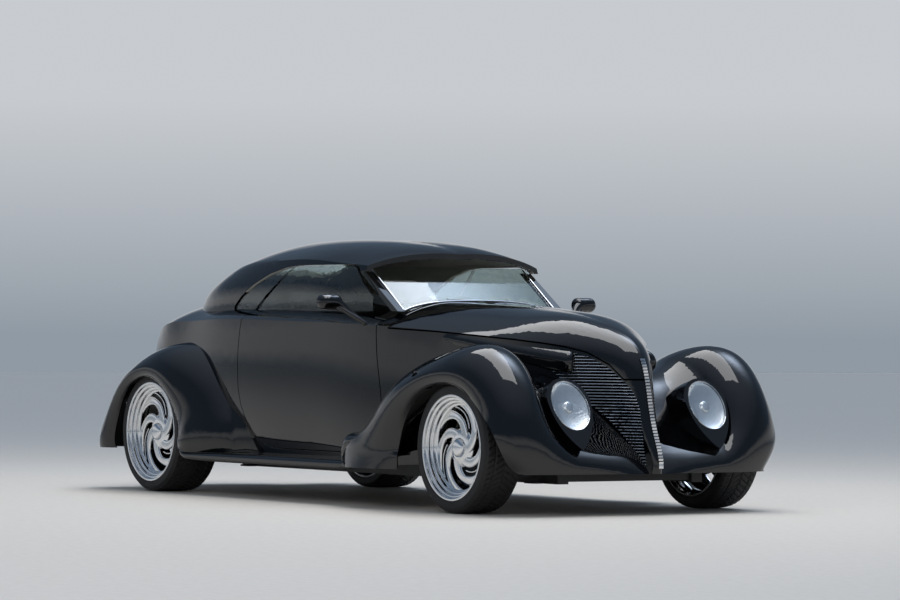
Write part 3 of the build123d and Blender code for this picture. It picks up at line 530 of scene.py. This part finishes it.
# %% [markdown]
# Six curved blades sweep back from hub to lip, and a thin splitter stands in every second window. A
# blade is a rounded bar whose middle line turns as it runs outwards, so its grid is stations along
# the blade by points round the bar. It widens towards the lip and lies a little deeper there. The
# middle line's turns are shares of the whole sweep, at the foot, half way and at the end.

# %% Blades and splitters
blade_count, splitter_count = 6, 3
blade_sweep = np.radians(78)
blade_turns, splitter_turns = np.array([0, 0.42, 1]), np.array([0.3, 0.6, 1])
blade_start, splitter_start, lip_depth = 66, 112, 49
# half widths from foot to end, depths at foot, half way and end, and the thickness
blade_section = (30, 31, 33, 42, 66), (57, 58, 62), 17
splitter_section = (5, 6, 9), (60, 61, 63), 12


def bar_grid(wheel, start, end, turns, half_arcs, depths, thickness):
    """A swept bar: at each radius the section is a rounded rectangle, as wide as twice the half arc."""
    share = np.linspace(0, 1, 28)[:, None]
    radius = start + (end - start) * share
    middle = np.interp(share, (0, 0.5, 1), turns)
    half_arc = np.interp(share, np.linspace(0, 1, len(half_arcs)), half_arcs)
    depth = np.interp(share, (0, 0.5, 1), depths)
    round_bar = once_round(32)[None, :]
    across = half_arc * signed_power(np.cos(round_bar), 0.5)
    height = thickness / 2 * signed_power(np.sin(round_bar), 0.7)
    return on_wheel(wheel, radius, middle + across / radius, depth - height)


print("blades sweep", round(float(np.degrees(blade_sweep))), "degrees")

# %% [markdown]
# One loop makes the four wheels. Each piece rides on its own wheel's body, so that it turns with it,
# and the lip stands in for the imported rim. A splitter starts a quarter of its own pitch on from a
# blade, which is the middle of a window.

# %% Make the wheels
lip_steps, hub_steps, window_middle = 144, 96, 0.25
for wheel in wheels:
    place, body = wheel.place, "wheel_" + wheel.place
    window_end = wheel.rim_radius - lip_depth
    barrel = spun(wheel, lip_profile(wheel.rim_radius, wheel.width), lip_steps)
    lip = surface("lip_" + place, barrel, billet, body, sharp=60)
    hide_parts("rim_" + place)
    hub = spun(wheel, hub_profile, hub_steps)
    surface("hub_" + place, hub, billet, body, wrap_columns=False)
    cap = spun(wheel, cap_profile, hub_steps)
    surface("cap_" + place, cap, chrome, body, wrap_columns=False)
    for n in range(blade_count):
        turns = 2 * np.pi * n / blade_count + blade_turns * blade_sweep
        blade = bar_grid(wheel, blade_start, window_end, turns, *blade_section)
        surface(f"blade_{n}_{place}", blade, billet, body, caps=True)
    for n in range(splitter_count):
        turns = 2 * np.pi * (n + window_middle) / splitter_count + splitter_turns * blade_sweep
        splitter = bar_grid(wheel, splitter_start, window_end + 1, turns, *splitter_section)
        surface(f"splitter_{n}_{place}", splitter, billet, body, caps=True)
print(len(wheels), "wheels of", blade_count, "blades and", splitter_count, "splitters")

# %% [markdown]
# Each headlamp is an oval that leans back with its pod. Lamp coordinates are a share of the oval, an
# angle round it, and a height off the lamp's raked face.

# %% Lamp coordinates
lamp_face = np.array([1914.0, 387.0, 500.0])
lamp_rake = np.radians(28.0)
lamp_half_width, lamp_half_height = 99.0, 123.0
flute_width, flute_depth = 9.0, 0.5


def on_lamp(side, share, angle, height):
    """Face centre, plus the oval's point along the face, plus the height along its normal, in metres."""
    share, angle, height = np.broadcast_arrays(share, angle, height)
    along = lamp_half_width * share * np.cos(angle)
    up = lamp_half_height * share * np.sin(angle)
    x = lamp_face[0] + height * np.cos(lamp_rake) - up * np.sin(lamp_rake)
    z = lamp_face[2] + height * np.sin(lamp_rake) + up * np.cos(lamp_rake)
    return MM * np.stack([x, side * lamp_face[1] + along, z], axis=-1)


def lamp_shell(side, outline, flutes=0.0, steps=96):
    """A profile of oval share and height, closed round the oval, with flutes as a small wave of height."""
    angle = once_round(steps)[:, None]
    share, height = outline[None, :, 0], outline[None, :, 1]
    across = lamp_half_width * share * np.cos(angle)
    wave = flutes * np.cos(2 * np.pi * across / flute_width) * np.clip(1 - share**4, 0, 1)
    return on_lamp(side, share, angle, height + wave)


print("lamp faces lean back by", round(float(np.degrees(lamp_rake))), "degrees")

# %% [markdown]
# A clear cover stands over a fluted bright bowl with a small bulb shield, and a thin bezel runs round
# the cover's edge. Each is an outline of share and height carried round the oval. The bowl's flutes
# are upright waves 9 mm wide that fade out towards the rim, so it has the most steps round.

# %% Headlamps
cover_outline = smooth_line([
    (0, 9), (0.5, 8.2), (0.85, 5.8), (0.975, 2.6), (1.0, 0.5), (1.0, -3), (0.975, -3), (0.85, 2.3),
    (0.5, 5), (0, 6),
], 4)
bowl_outline = smooth_line([
    (0, -22), (0.3, -21), (0.6, -17), (0.85, -10), (0.97, -3.5), (1.0, -3.6), (1.0, -25), (0.5, -25),
    (0, -25),
], 4)
shield_outline = smooth_line([
    (0, -8), (0.12, -8.6), (0.2, -11), (0.22, -16), (0.22, -21), (0.1, -21), (0, -21),
], 4)
bowl_steps = 288
bezel_outline = np.array([(1.0, 2.4), (1.012, 3.0), (1.02, 1.2), (1.012, -0.4), (1.0, -0.6)])
for side, hand in hands:
    cover = lamp_shell(side, cover_outline)
    cover = surface("lamp_cover_" + hand, cover, lens, "body", wrap_columns=False)
    if side < 0:
        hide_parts("headlight_lenses")
    bowl = lamp_shell(side, bowl_outline, flute_depth, bowl_steps)
    surface("lamp_bowl_" + hand, bowl, reflector, "body", wrap_columns=False)
    shield = lamp_shell(side, shield_outline)
    surface("bulb_shield_" + hand, shield, reflector, "body", wrap_columns=False)
    surface("lamp_bezel_" + hand, lamp_shell(side, bezel_outline), chrome, "body")
print("two headlamps made")

# %% [markdown]
# The bright strip down the ridge of the nose is a stack of small louvres about 15 mm apart. Its line
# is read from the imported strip: seen from a pivot low behind the nose, the strip's outer edge is a
# smooth radius over an angle, so a polynomial through its corners gives every station. The corners
# near the middle plane are sorted into bins of two degrees, and those close to the farthest one of
# their bin are the outer edge.

# %% Line of the nose strip
pivot_x, pivot_z = 1450.0, 190.0
bin_turn, edge_band, end_gap = np.radians(2.0), 3.5, 0.004
strip_corners = corners_of(frame["nodes"]["nose_strip"].data) / MM
ridge = strip_corners[np.abs(strip_corners[:, 1]) < 1.0]
ridge_angle = np.arctan2(ridge[:, 2] - pivot_z, ridge[:, 0] - pivot_x)
ridge_radius = np.hypot(ridge[:, 2] - pivot_z, ridge[:, 0] - pivot_x)
bins = np.round(ridge_angle / bin_turn).astype(int)
outermost = np.zeros(bins.max() + 1)
np.maximum.at(outermost, bins, ridge_radius)
outer = ridge_radius > outermost[bins] - edge_band
ridge_line = np.polynomial.Polynomial.fit(ridge_angle[outer], ridge_radius[outer], 6)
angles = np.linspace(ridge_angle[outer].min() + end_gap, ridge_angle[outer].max() - end_gap, 400)
path = np.stack([
    pivot_x + ridge_line(angles) * np.cos(angles), 0 * angles, pivot_z + ridge_line(angles) * np.sin(angles),
], axis=1)
run = np.r_[0, np.cumsum(np.linalg.norm(np.diff(path, axis=0), axis=1))]
ahead = np.gradient(path, axis=0)
ahead /= np.linalg.norm(ahead, axis=1, keepdims=True)
outward = np.stack([ahead[:, 2], 0 * run, -ahead[:, 0]], axis=1)
print("the strip runs", round(float(run[-1])), "mm along the ridge")

# %% [markdown]
# The louvres are short bars across a satin backing, each tipped a little, so that its top edge stands
# out and catches the light. Every section is a square with round corners: a cosine and a sine raised
# to a small power. A solid shoe closes the strip at its foot.

# %% Louvred nose strip
louvre_pitch, louvre_length, louvre_tilt = 15.0, 9.5, 2.6
first_louvre, last_gap, shoe_length = 26.0, 4.0, 20.0
# lift off the ridge, half width and half height of each section
backing_lift, backing_wide, backing_high = -8.5, 11.5, 3.5
louvre_lift, louvre_wide, louvre_high = -3.0, 12.4, 1.7
shoe_lift, shoe_wide, shoe_high = -5.5, 12.6, 4.5


def on_strip(along, across, lift):
    """A point of the ridge at a run along it, moved across the car and lifted off the ridge, in metres."""
    along, across, lift = np.broadcast_arrays(along, across, lift)
    place = np.stack([np.interp(along, run, path[:, k]) for k in range(3)], axis=-1)
    normal = np.stack([np.interp(along, run, outward[:, k]) for k in range(3)], axis=-1)
    return MM * (place + across[..., None] * np.array([0, 1, 0]) + lift[..., None] * normal)


turn = once_round(24)[None, :]
square_y, square_z = signed_power(np.cos(turn), 0.4), signed_power(np.sin(turn), 0.4)
along = np.linspace(0, run[-1], 120)[:, None]
backing = on_strip(along, backing_wide * square_y, backing_lift + backing_high * square_z)
strip = surface("strip_backing", backing, satin, "body", caps=True)
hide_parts("nose_strip")
starts = np.arange(first_louvre, run[-1] - last_gap, louvre_pitch)[:, None, None]
share = np.linspace(0, 1, 5)[None, :, None]
louvres = on_strip(
    starts + louvre_length * share - louvre_length / 2, louvre_wide * square_y[None],
    louvre_lift + louvre_tilt * (share - 0.5) + louvre_high * square_z[None],
)
surface("nose_louvres", louvres, chrome, "body", caps=True, sharp=60)
along = np.linspace(0, shoe_length, 6)[:, None]
shoe = on_strip(along, shoe_wide * square_y, shoe_lift + shoe_high * square_z)
surface("strip_shoe", shoe, chrome, "body", caps=True, sharp=60)
print("strip of", len(starts), "louvres")

# %% [markdown]
# Tubes follow a line of points. At each point the ring lies across the line: one axis is the line's
# direction crossed with a fixed guide, and the other is the direction crossed with that.

# %% Tubes along lines


def tube_grid(points, radii, guide, steps):
    """Rings round a line: one axis is the line's direction crossed with a guide, the other crosses both."""
    ahead = np.gradient(points, axis=0)
    ahead /= np.linalg.norm(ahead, axis=1, keepdims=True)
    first = np.cross(ahead, guide)
    first /= np.linalg.norm(first, axis=1, keepdims=True)
    second = np.cross(ahead, first)
    turn = once_round(steps)[None, :, None]
    radius = np.broadcast_to(radii, len(points))[:, None, None]
    ring = np.cos(turn) * first[:, None] + np.sin(turn) * second[:, None]
    return MM * (points[:, None] + radius * ring)


def tube(name, points, radii, finish, body, guide=(0, 0, 1), steps=12):
    """A round bar along points in millimetres, with one radius or a radius for every point."""
    rings = tube_grid(np.asarray(points, float), radii, guide, steps)
    return surface(name, rings, finish, body, caps=True)


print("a tube of 2 rings has a grid of", tube_grid(np.eye(3)[:2], 1, (0, 0, 1), 12).shape)

# %% [markdown]
# The grille has level bars with bright rounded fronts. Their flanks take satin black, which is painted
# shade: it stands in for the shadow between the polished bars. Each front is a thin tube along the
# bar's outer edge: seen along the chord from end to end, that edge is a shallow curve, so the corners
# that lie outside a first fit give the line for a second one.

# %% Bright fronts of the grille bars
bar_bottom, bar_pitch, bar_count, front_radius = 218.0, 14.0, 39, 3.2
level_band, nose_gap, fewest_corners = 3.5, 30.0, 8
front_sink, front_stations = 1.8, 28
# Satin black on the bars is painted shade for the dark gaps between the polished bars.
for holder in frame["nodes"]["grille_bars"].material_slots:
    holder.material = satin
bar_corners = np.unique(np.round(corners_of(frame["nodes"]["grille_bars"].data) / MM, 1), axis=0)


def front_line(level, side):
    """The outer edge of one bar: chord coordinates of its corners, with a cubic through the outer ones."""
    on_level = np.abs(bar_corners[:, 2] - level) < level_band
    near = bar_corners[on_level & (side * bar_corners[:, 1] > nose_gap)]
    if len(near) < fewest_corners:
        return None
    start, end = near[near[:, 0].argmin(), :2], near[near[:, 0].argmax(), :2]
    chord = (end - start) / np.linalg.norm(end - start)
    normal = np.array([chord[1], -chord[0]]) * np.sign(-side * chord[0])
    along, off = (near[:, :2] - start) @ chord, (near[:, :2] - start) @ normal
    rough = np.polynomial.Polynomial.fit(along, off, 2)
    outer = off > rough(along)
    line = np.polynomial.Polynomial.fit(along[outer], off[outer], 3 if outer.sum() > 6 else 1)
    s = np.linspace(along[outer].min(), along[outer].max(), front_stations)
    flat = start + s[:, None] * chord + (line(s) - front_sink)[:, None] * normal
    return np.column_stack([flat, np.full(front_stations, level)])


fronts = []
for level in bar_bottom + bar_pitch * np.arange(bar_count):
    for side, _ in hands:
        line = front_line(level, side)
        if line is not None:
            fronts.append(tube_grid(line, front_radius, (0, 0, 1), 8))
surface("grille_fronts", fronts, bright, "body", caps=True)
print(len(fronts), "bar fronts")

# %% [markdown]
# Thin bright trims frame the windscreen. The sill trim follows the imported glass: its lowest corner in
# each 30 mm across the car gives one curve for the way forwards and one for the height. The edge
# trims rise straight along the glass's two sides.

# %% Windscreen trims
span_width, trim_radius = 30.0, 4.5
sill_half_width, sill_forward, sill_rise = 446.0, 2.0, 5.0
edge_foot, edge_way = np.array([597.0, 447.0, 936.0]), np.array([-300.0, 0.0, 208.0])
glass_corners = corners_of(frame["nodes"]["windscreen"].data) / MM
spans = np.round(glass_corners[:, 1] / span_width).astype(int)
foot = []
for span in np.unique(spans):
    near = glass_corners[spans == span]
    foot.append(near[near[:, 2].argmin()])
foot = np.array(foot)
foot_x = np.polynomial.Polynomial.fit(foot[:, 1], foot[:, 0], 4)
foot_z = np.polynomial.Polynomial.fit(foot[:, 1], foot[:, 2], 4)
y = np.linspace(-sill_half_width, sill_half_width, 60)
sill = np.stack([foot_x(y) + sill_forward, y, foot_z(y) + sill_rise], axis=1)
tube("windscreen_sill_trim", sill, trim_radius, bright, "body")
for side, hand in hands:
    edge = (edge_foot + np.linspace(0, 1, 24)[:, None] * edge_way) * (1, side, 1)
    tube("windscreen_edge_" + hand, edge, trim_radius, bright, "body", guide=(0, 1, 0))
print("windscreen trims made from", len(foot), "points of the glass")

# %% [markdown]
# The bench is two pairs of stuffed leather pads. A pad is a superellipsoid: a cube with its corners
# rounded by raising sines and cosines to a small power, with sewn channels pressed into its top.

# %% Padded bench
side_power, corner_power, top_power, crown = 0.28, 0.3, 0.55, 0.12
seam_width, seam_depth, channels = 5.0, 7.0, 6
base_centre, base_half_sizes = (-56, 236, 352), (212, 230, 66)
back_centre, back_half_sizes, back_lean = (-262, 236, 600), (280, 230, 52), np.radians(98.7)


def pad(name, side, centre, half_sizes, lean=0.0):
    """A crowned pad: length, width and height from powers of cosine and sine, less a groove at each seam."""
    rise = np.linspace(-np.pi / 2, np.pi / 2, 64)[:, None]
    turn = once_round(144)[None, :]
    x = half_sizes[0] * signed_power(np.cos(rise), side_power) * signed_power(np.cos(turn), corner_power)
    y = half_sizes[1] * signed_power(np.cos(rise), side_power) * signed_power(np.sin(turn), corner_power)
    z = half_sizes[2] * signed_power(np.sin(rise), top_power) * (1 - crown * (x / half_sizes[0]) ** 2)
    seams = half_sizes[1] * np.linspace(-1, 1, channels + 2)[1:-1]
    groove = sum(np.exp(-(((y - seam) / seam_width) ** 2)) for seam in seams)
    z = z - seam_depth * groove * np.clip(np.sin(rise), 0, 1) ** 0.3
    along = centre[0] + x * np.cos(lean) + z * np.sin(lean)
    up = centre[2] - x * np.sin(lean) + z * np.cos(lean)
    grid = MM * np.stack([along, side * centre[1] + y, up], axis=-1)
    made = surface(name, grid, leather, "body", wrap_rows=False)
    return made


for side, hand in hands:
    base = pad("seat_base_" + hand, side, base_centre, base_half_sizes)
    if side < 0:
        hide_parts("seat")
    pad("seat_back_" + hand, side, back_centre, back_half_sizes, back_lean)
print("four pads of", channels, "seams made")

# %% [markdown]
# The door mirrors are painted teardrops on a swan neck. Rings follow a line of points from the tip of
# the head to the foot, each ring an ellipse with its own half width and half height, so the head
# swells and then runs into the neck. The rows are the right-hand mirror's, and the left is mirrored.
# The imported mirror's smooth copy stands in the same place, and shows where it is outside this skin.

# %% Door mirrors
mirror_rows = np.array([
    # x, y, z, half width, half height
    (412, -811, 975, 1, 1), (411, -806, 975, 14, 16), (410, -794, 975, 25, 27),
    (410, -775, 974, 31, 34), (411, -748, 972, 32, 36), (414, -722, 968, 29, 32),
    (421, -699, 960, 23, 24), (432, -679, 947, 17, 17), (446, -660, 929, 13, 13),
    (460, -640, 908, 11.5, 12), (473, -619, 888, 11, 12), (486, -597, 870, 11, 12),
], float)


def neck_grid(rows, side, steps=48):
    """Ellipses round a smooth line, each standing across the line's direction of travel."""
    line = smooth_line(rows[:, :3] * (1, -side, 1), 6)
    sizes = smooth_line(rows[:, 3:], 6)
    ahead = np.gradient(line, axis=0)
    ahead /= np.linalg.norm(ahead, axis=1, keepdims=True)
    flat = np.cross(ahead, (0, 0, 1))
    flat /= np.linalg.norm(flat, axis=1, keepdims=True)
    upright = np.cross(flat, ahead)
    turn = once_round(steps)[None, :, None]
    wide, high = sizes[:, 0, None, None], sizes[:, 1, None, None]
    ring = wide * np.cos(turn) * flat[:, None] + high * np.sin(turn) * upright[:, None]
    return MM * (line[:, None] + ring)


for side, hand in hands:
    teardrop = neck_grid(mirror_rows, side)
    mirror = surface("mirror_head_" + hand, teardrop, paint, "door_" + hand, caps=True)
    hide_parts("mirror_" + hand)
print("mirrors of", len(teardrop), "rings made")

# %% [markdown]
# Four round gauges sit in the dash. Each is a cream dial in a thin chrome ring, both spun about the
# dash's own normal.

# %% Gauges
gauge_x, gauge_z, gauge_places = 438.6, 832.0, (-120, -40, 40, 120)
dash_normal = np.array([-0.985, 0, 0.174])
dial_outline = [(0, 1.5), (30, 1.5), (31, 0), (0, 0)]
ring_outline = [(0, 0.6), (31, 0.6), (32, 3.5), (35, 3.5), (37, 0), (0, 0)]


def disc_piece(name, centre, axis, outline, finish, body, ring=False):
    """A profile of radius and height spun about an axis through a centre, in millimetres.

    A point of the outline stands off the centre by its radius across the axis and its height along
    it. A ring's outline closes on itself, and a disc's starts and ends on the axis. The axis lies in
    the car's middle plane, so that Y is across it.
    """
    axis = np.asarray(axis, float) / np.linalg.norm(axis)
    side = np.cross(axis, (0, 1, 0))
    side /= np.linalg.norm(side)
    other = np.cross(axis, side)
    turn = once_round(64)[:, None, None]
    outline = np.asarray(outline, float)
    across = outline[None, :, :1] * (np.cos(turn) * side + np.sin(turn) * other)
    grid = MM * (np.asarray(centre, float) + across + outline[None, :, 1:] * axis)
    return surface(name, grid, finish, body, wrap_columns=ring)


for n, y in enumerate(gauge_places):
    centre = (gauge_x, y, gauge_z)
    disc_piece(f"gauge_ring_{n}", centre, dash_normal, ring_outline, chrome, "body")
    disc_piece(f"gauge_dial_{n}", centre, dash_normal, dial_outline, dial, "body")
print(len(gauge_places), "gauges made")

# %% [markdown]
# The exhaust pipes end in turned tips. A tip is a ring: its outline runs up the outside, over a rolled
# lip and back down the bore, so the pipe looks hollow. A satin black plate closes the bore inside: its
# black is partly soot and partly painted shade, standing in for the dark depth of the pipe.

# %% Exhaust tips
pipe_end, pipe_spread, pipe_height = -1960.0, 255.0, 162.0
rearwards = (-1, 0, 0)
tip_outline = smooth_line([
    (23.6, -42), (26.5, -38), (27.5, -10), (28, 24), (27.2, 31), (25, 34), (22.8, 32), (22, 26),
    (21.8, 6), (21.8, -42),
], 3)
# The plate is partly soot and partly painted shade for the bore's dark depth.
soot_and_shade_outline = [(0, 1.2), (22.4, 1.2), (22.4, -2), (0, -2)]
for side, hand in hands:
    centre = (pipe_end, side * pipe_spread, pipe_height)
    disc_piece("tip_" + hand, centre, rearwards, tip_outline, chrome, "body", ring=True)
    disc_piece("soot_and_shade_" + hand, centre, rearwards, soot_and_shade_outline, satin, "body")
print("exhaust tips made")

# %% [markdown]
# The running board's edge is one thick rolled bead that runs on out of the rear fender's lip and into
# the front fender's tail. It is a tube of an oval section along a line of points, thinner at its ends.

# %% Running board beads
bead_rows = np.array([
    # x, y, z, half width, half height
    (-979, -781, 262, 7, 5), (-976, -780, 236, 13, 11), (-962, -778, 212, 20, 18),
    (-930, -776, 199, 24, 21), (-862, -776, 196, 25, 22.5), (-400, -776, 196, 25, 22.5),
    (100, -776, 196, 25, 22.5), (480, -776, 196, 25, 22.5), (580, -777, 197, 24, 21.5),
    (660, -780, 200, 18, 16),
], float)
for side, hand in hands:
    surface("board_bead_" + hand, neck_grid(bead_rows, side), paint, "body", caps=True)
print("beads of", round(bead_rows[-1, 0] - bead_rows[0, 0]), "mm made")

# %% [markdown]
# The tail lamps are small upright bullets in the rear fenders' slope: a painted housing, a chrome
# ring and a domed red lens. Each is a row of ovals along the car, and the three follow one centre.

# %% Tail lamps
lamp_y, lamp_z = -660.0, 488.0
housing_rows = [(-1685, 20, 39), (-1765, 21, 40), (-1774, 21, 40)]
ring_rows = [(-1770, 22, 41), (-1774, 23.5, 42.5), (-1780, 23.5, 42.5), (-1784, 21, 40), (-1785, 18, 37)]
lens_rows = [
    (-1772, 19, 38), (-1784, 18.6, 37.6), (-1789, 16.5, 34.5), (-1792.5, 12.5, 28), (-1794.5, 7, 17),
    (-1795, 1, 2),
]


def lamp_rows(rows):
    """Stations of x, half width and half height, set on the lamp's own centre line."""
    return np.array([(x, lamp_y, lamp_z, wide, high) for x, wide, high in rows], float)


for side, hand in hands:
    housing = neck_grid(lamp_rows(housing_rows), side)
    surface("lamp_housing_" + hand, housing, paint, "body", caps=True)
    ring = neck_grid(lamp_rows(ring_rows), side)
    surface("lamp_ring_" + hand, ring, chrome, "body", caps=True)
    dome = neck_grid(lamp_rows(lens_rows), side)
    tail_lens = surface("tail_lens_" + hand, dome, red_lens, "body", caps=True)
    if side < 0:
        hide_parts("tail_lamps")
print("tail lamps made")

# %% [markdown]
# A pale floor stands in for a studio. It reaches far past the picture's edges, so that its far end is
# the horizon. It is for the picture alone and is no piece of the car.

# %% Floor
floor_reach = 60
floor_corners = [(x * floor_reach, y * floor_reach, 0) for x, y in ((-1, -1), (1, -1), (1, 1), (-1, 1))]
floor_mesh = bpy.data.meshes.new("floor")
floor_mesh.from_pydata(floor_corners, [], [(0, 1, 2, 3)])
floor = bpy.data.objects.new("floor", floor_mesh)
bpy.context.collection.objects.link(floor)
floor_mesh.materials.append(finish_of("pale_concrete", ("#d9d0c4", "#e0d8cc"), (0.6, 0.8), 40, detail=8.0))
floor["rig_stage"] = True
print("floor of", 2 * floor_reach, "metres")

# %% [markdown]
# The sky is drawn in bands of height, which is the upward part of each direction. It is greyish at
# the horizon, where it has to match the far floor, and pale just above. Higher up it is dim, so that
# black paint and polished metal have something dark to show, and overhead it is bright. A soft glow
# round one direction adds a highlight: the cosine of the angle to it, raised to a high power.

# %% Sky
band_heights = (0.06, 0.13, 0.26, 0.55)
band_shades = ("#a1acb7", "#dfe3e8", "#dfe3e8", "#6e8096", "#6e8096", "#c6d4e9")
glow_way, glow_power, glow_strength, sky_strength = (-0.15, 0.5, 0.85), 40.0, 8.0, 0.78
world = bpy.data.worlds.new("soft_sky")
bpy.context.scene.world = world
world.use_nodes = True
sky = world.node_tree
way = add_node(sky, "ShaderNodeTexCoord").outputs["Generated"]
height = add_node(sky, "ShaderNodeSeparateXYZ", {0: way}).outputs["Z"]
tint = add_node(sky, "ShaderNodeValToRGB", {0: height})
bands = tint.color_ramp.elements
for rise in band_heights:
    bands.new(rise)
for stop, shade in zip(bands, band_shades):
    stop.color = linear(shade)
facing = add_node(sky, "ShaderNodeVectorMath", {0: way}, operation="DOT_PRODUCT")
facing.inputs[1].default_value = Vector(glow_way).normalized()
lobe = add_node(sky, "ShaderNodeMath", {0: facing.outputs["Value"]}, operation="MAXIMUM")
lobe.inputs[1].default_value = 0.0
glow = add_node(sky, "ShaderNodeMath", {0: lobe.outputs[0]}, operation="POWER")
glow.inputs[1].default_value = glow_power
strength = add_node(sky, "ShaderNodeMath", {0: glow.outputs[0]}, operation="MULTIPLY_ADD")
strength.inputs[1].default_value, strength.inputs[2].default_value = glow_strength, sky_strength
sky.links.new(tint.outputs[0], sky.nodes["Background"].inputs["Color"])
sky.links.new(strength.outputs[0], sky.nodes["Background"].inputs["Strength"])
print("sky of", len(bands), "stops")

# %% [markdown]
# A large light overhead draws long bright patches on the roof and the fenders, as a studio's light box
# does. A second one brightens the near side, and gloss doesn't mirror it.

# %% Lights


def soft_light(name, place, target, width, height, watts, mirrored=True):
    """A rectangular area light at a place, aimed at a target, in metres; mirrored shows it in gloss."""
    data = bpy.data.lights.new(name, "AREA")
    data.shape, data.size, data.size_y, data.energy = "RECTANGLE", width, height, watts
    lamp = bpy.data.objects.new(name, data)
    lamp.location = place
    aim = Vector(target) - Vector(place)
    lamp.rotation_mode = "QUATERNION"
    lamp.rotation_quaternion = aim.to_track_quat("-Z", "Y")
    lamp.visible_glossy = mirrored
    bpy.context.collection.objects.link(lamp)


soft_light("overhead", (0.3, 0.6, 6.5), (0.2, 0, 0.6), 8.0, 3.6, 280)
soft_light("side", (7.0, -10.0, 6.0), (0.2, 0, 0.5), 6.0, 4.0, 260, mirrored=False)
bpy.context.scene.view_settings.view_transform = "Standard"
print(len(bpy.data.lights), "soft lights")

# %% [markdown]
# The camera stands low ahead of the car's right-hand side. Its place, turn and focal length come
# from the photograph's own perspective, with the wheels and the body as the scale.

# %% Camera
camera_place, car_middle = Vector((16.6238, -10.6853, 0.8051)), Vector((0, 0, 0.6))
camera_yaw, camera_pitch, camera_roll = 2.56143, 0.00952, 0.00700
focal_pixels, frame_pixels = 3950.8, 900.0
ahead = Vector((
    np.cos(camera_pitch) * np.cos(camera_yaw),
    np.cos(camera_pitch) * np.sin(camera_yaw),
    np.sin(camera_pitch),
))
level_right = ahead.cross(Vector((0, 0, 1))).normalized()
level_up = level_right.cross(ahead)
right = level_right * np.cos(camera_roll) + level_up * np.sin(camera_roll)
up = level_up * np.cos(camera_roll) - level_right * np.sin(camera_roll)
camera_data = bpy.data.cameras.new("camera")
camera_data.sensor_width = 36.0
camera_data.lens = focal_pixels * camera_data.sensor_width / frame_pixels
camera = bpy.data.objects.new("camera", camera_data)
bpy.context.collection.objects.link(camera)
turn = Matrix((right, up, -ahead)).transposed().to_4x4()
camera.matrix_world = Matrix.Translation(camera_place) @ turn
bpy.context.scene.camera = camera
print("camera", round((camera_place - car_middle).length, 1), "metres from the car")

# %% [markdown]
# The model's box before and after dressing is printed, so that the two can be compared.

# %% Sizes and finish
dressed_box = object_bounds()
sizes = {
    "cad": [[float(v) for v in corner] for corner in cad_box],
    "dressed": [[float(v) for v in corner] for corner in dressed_box],
}
print(sizes)
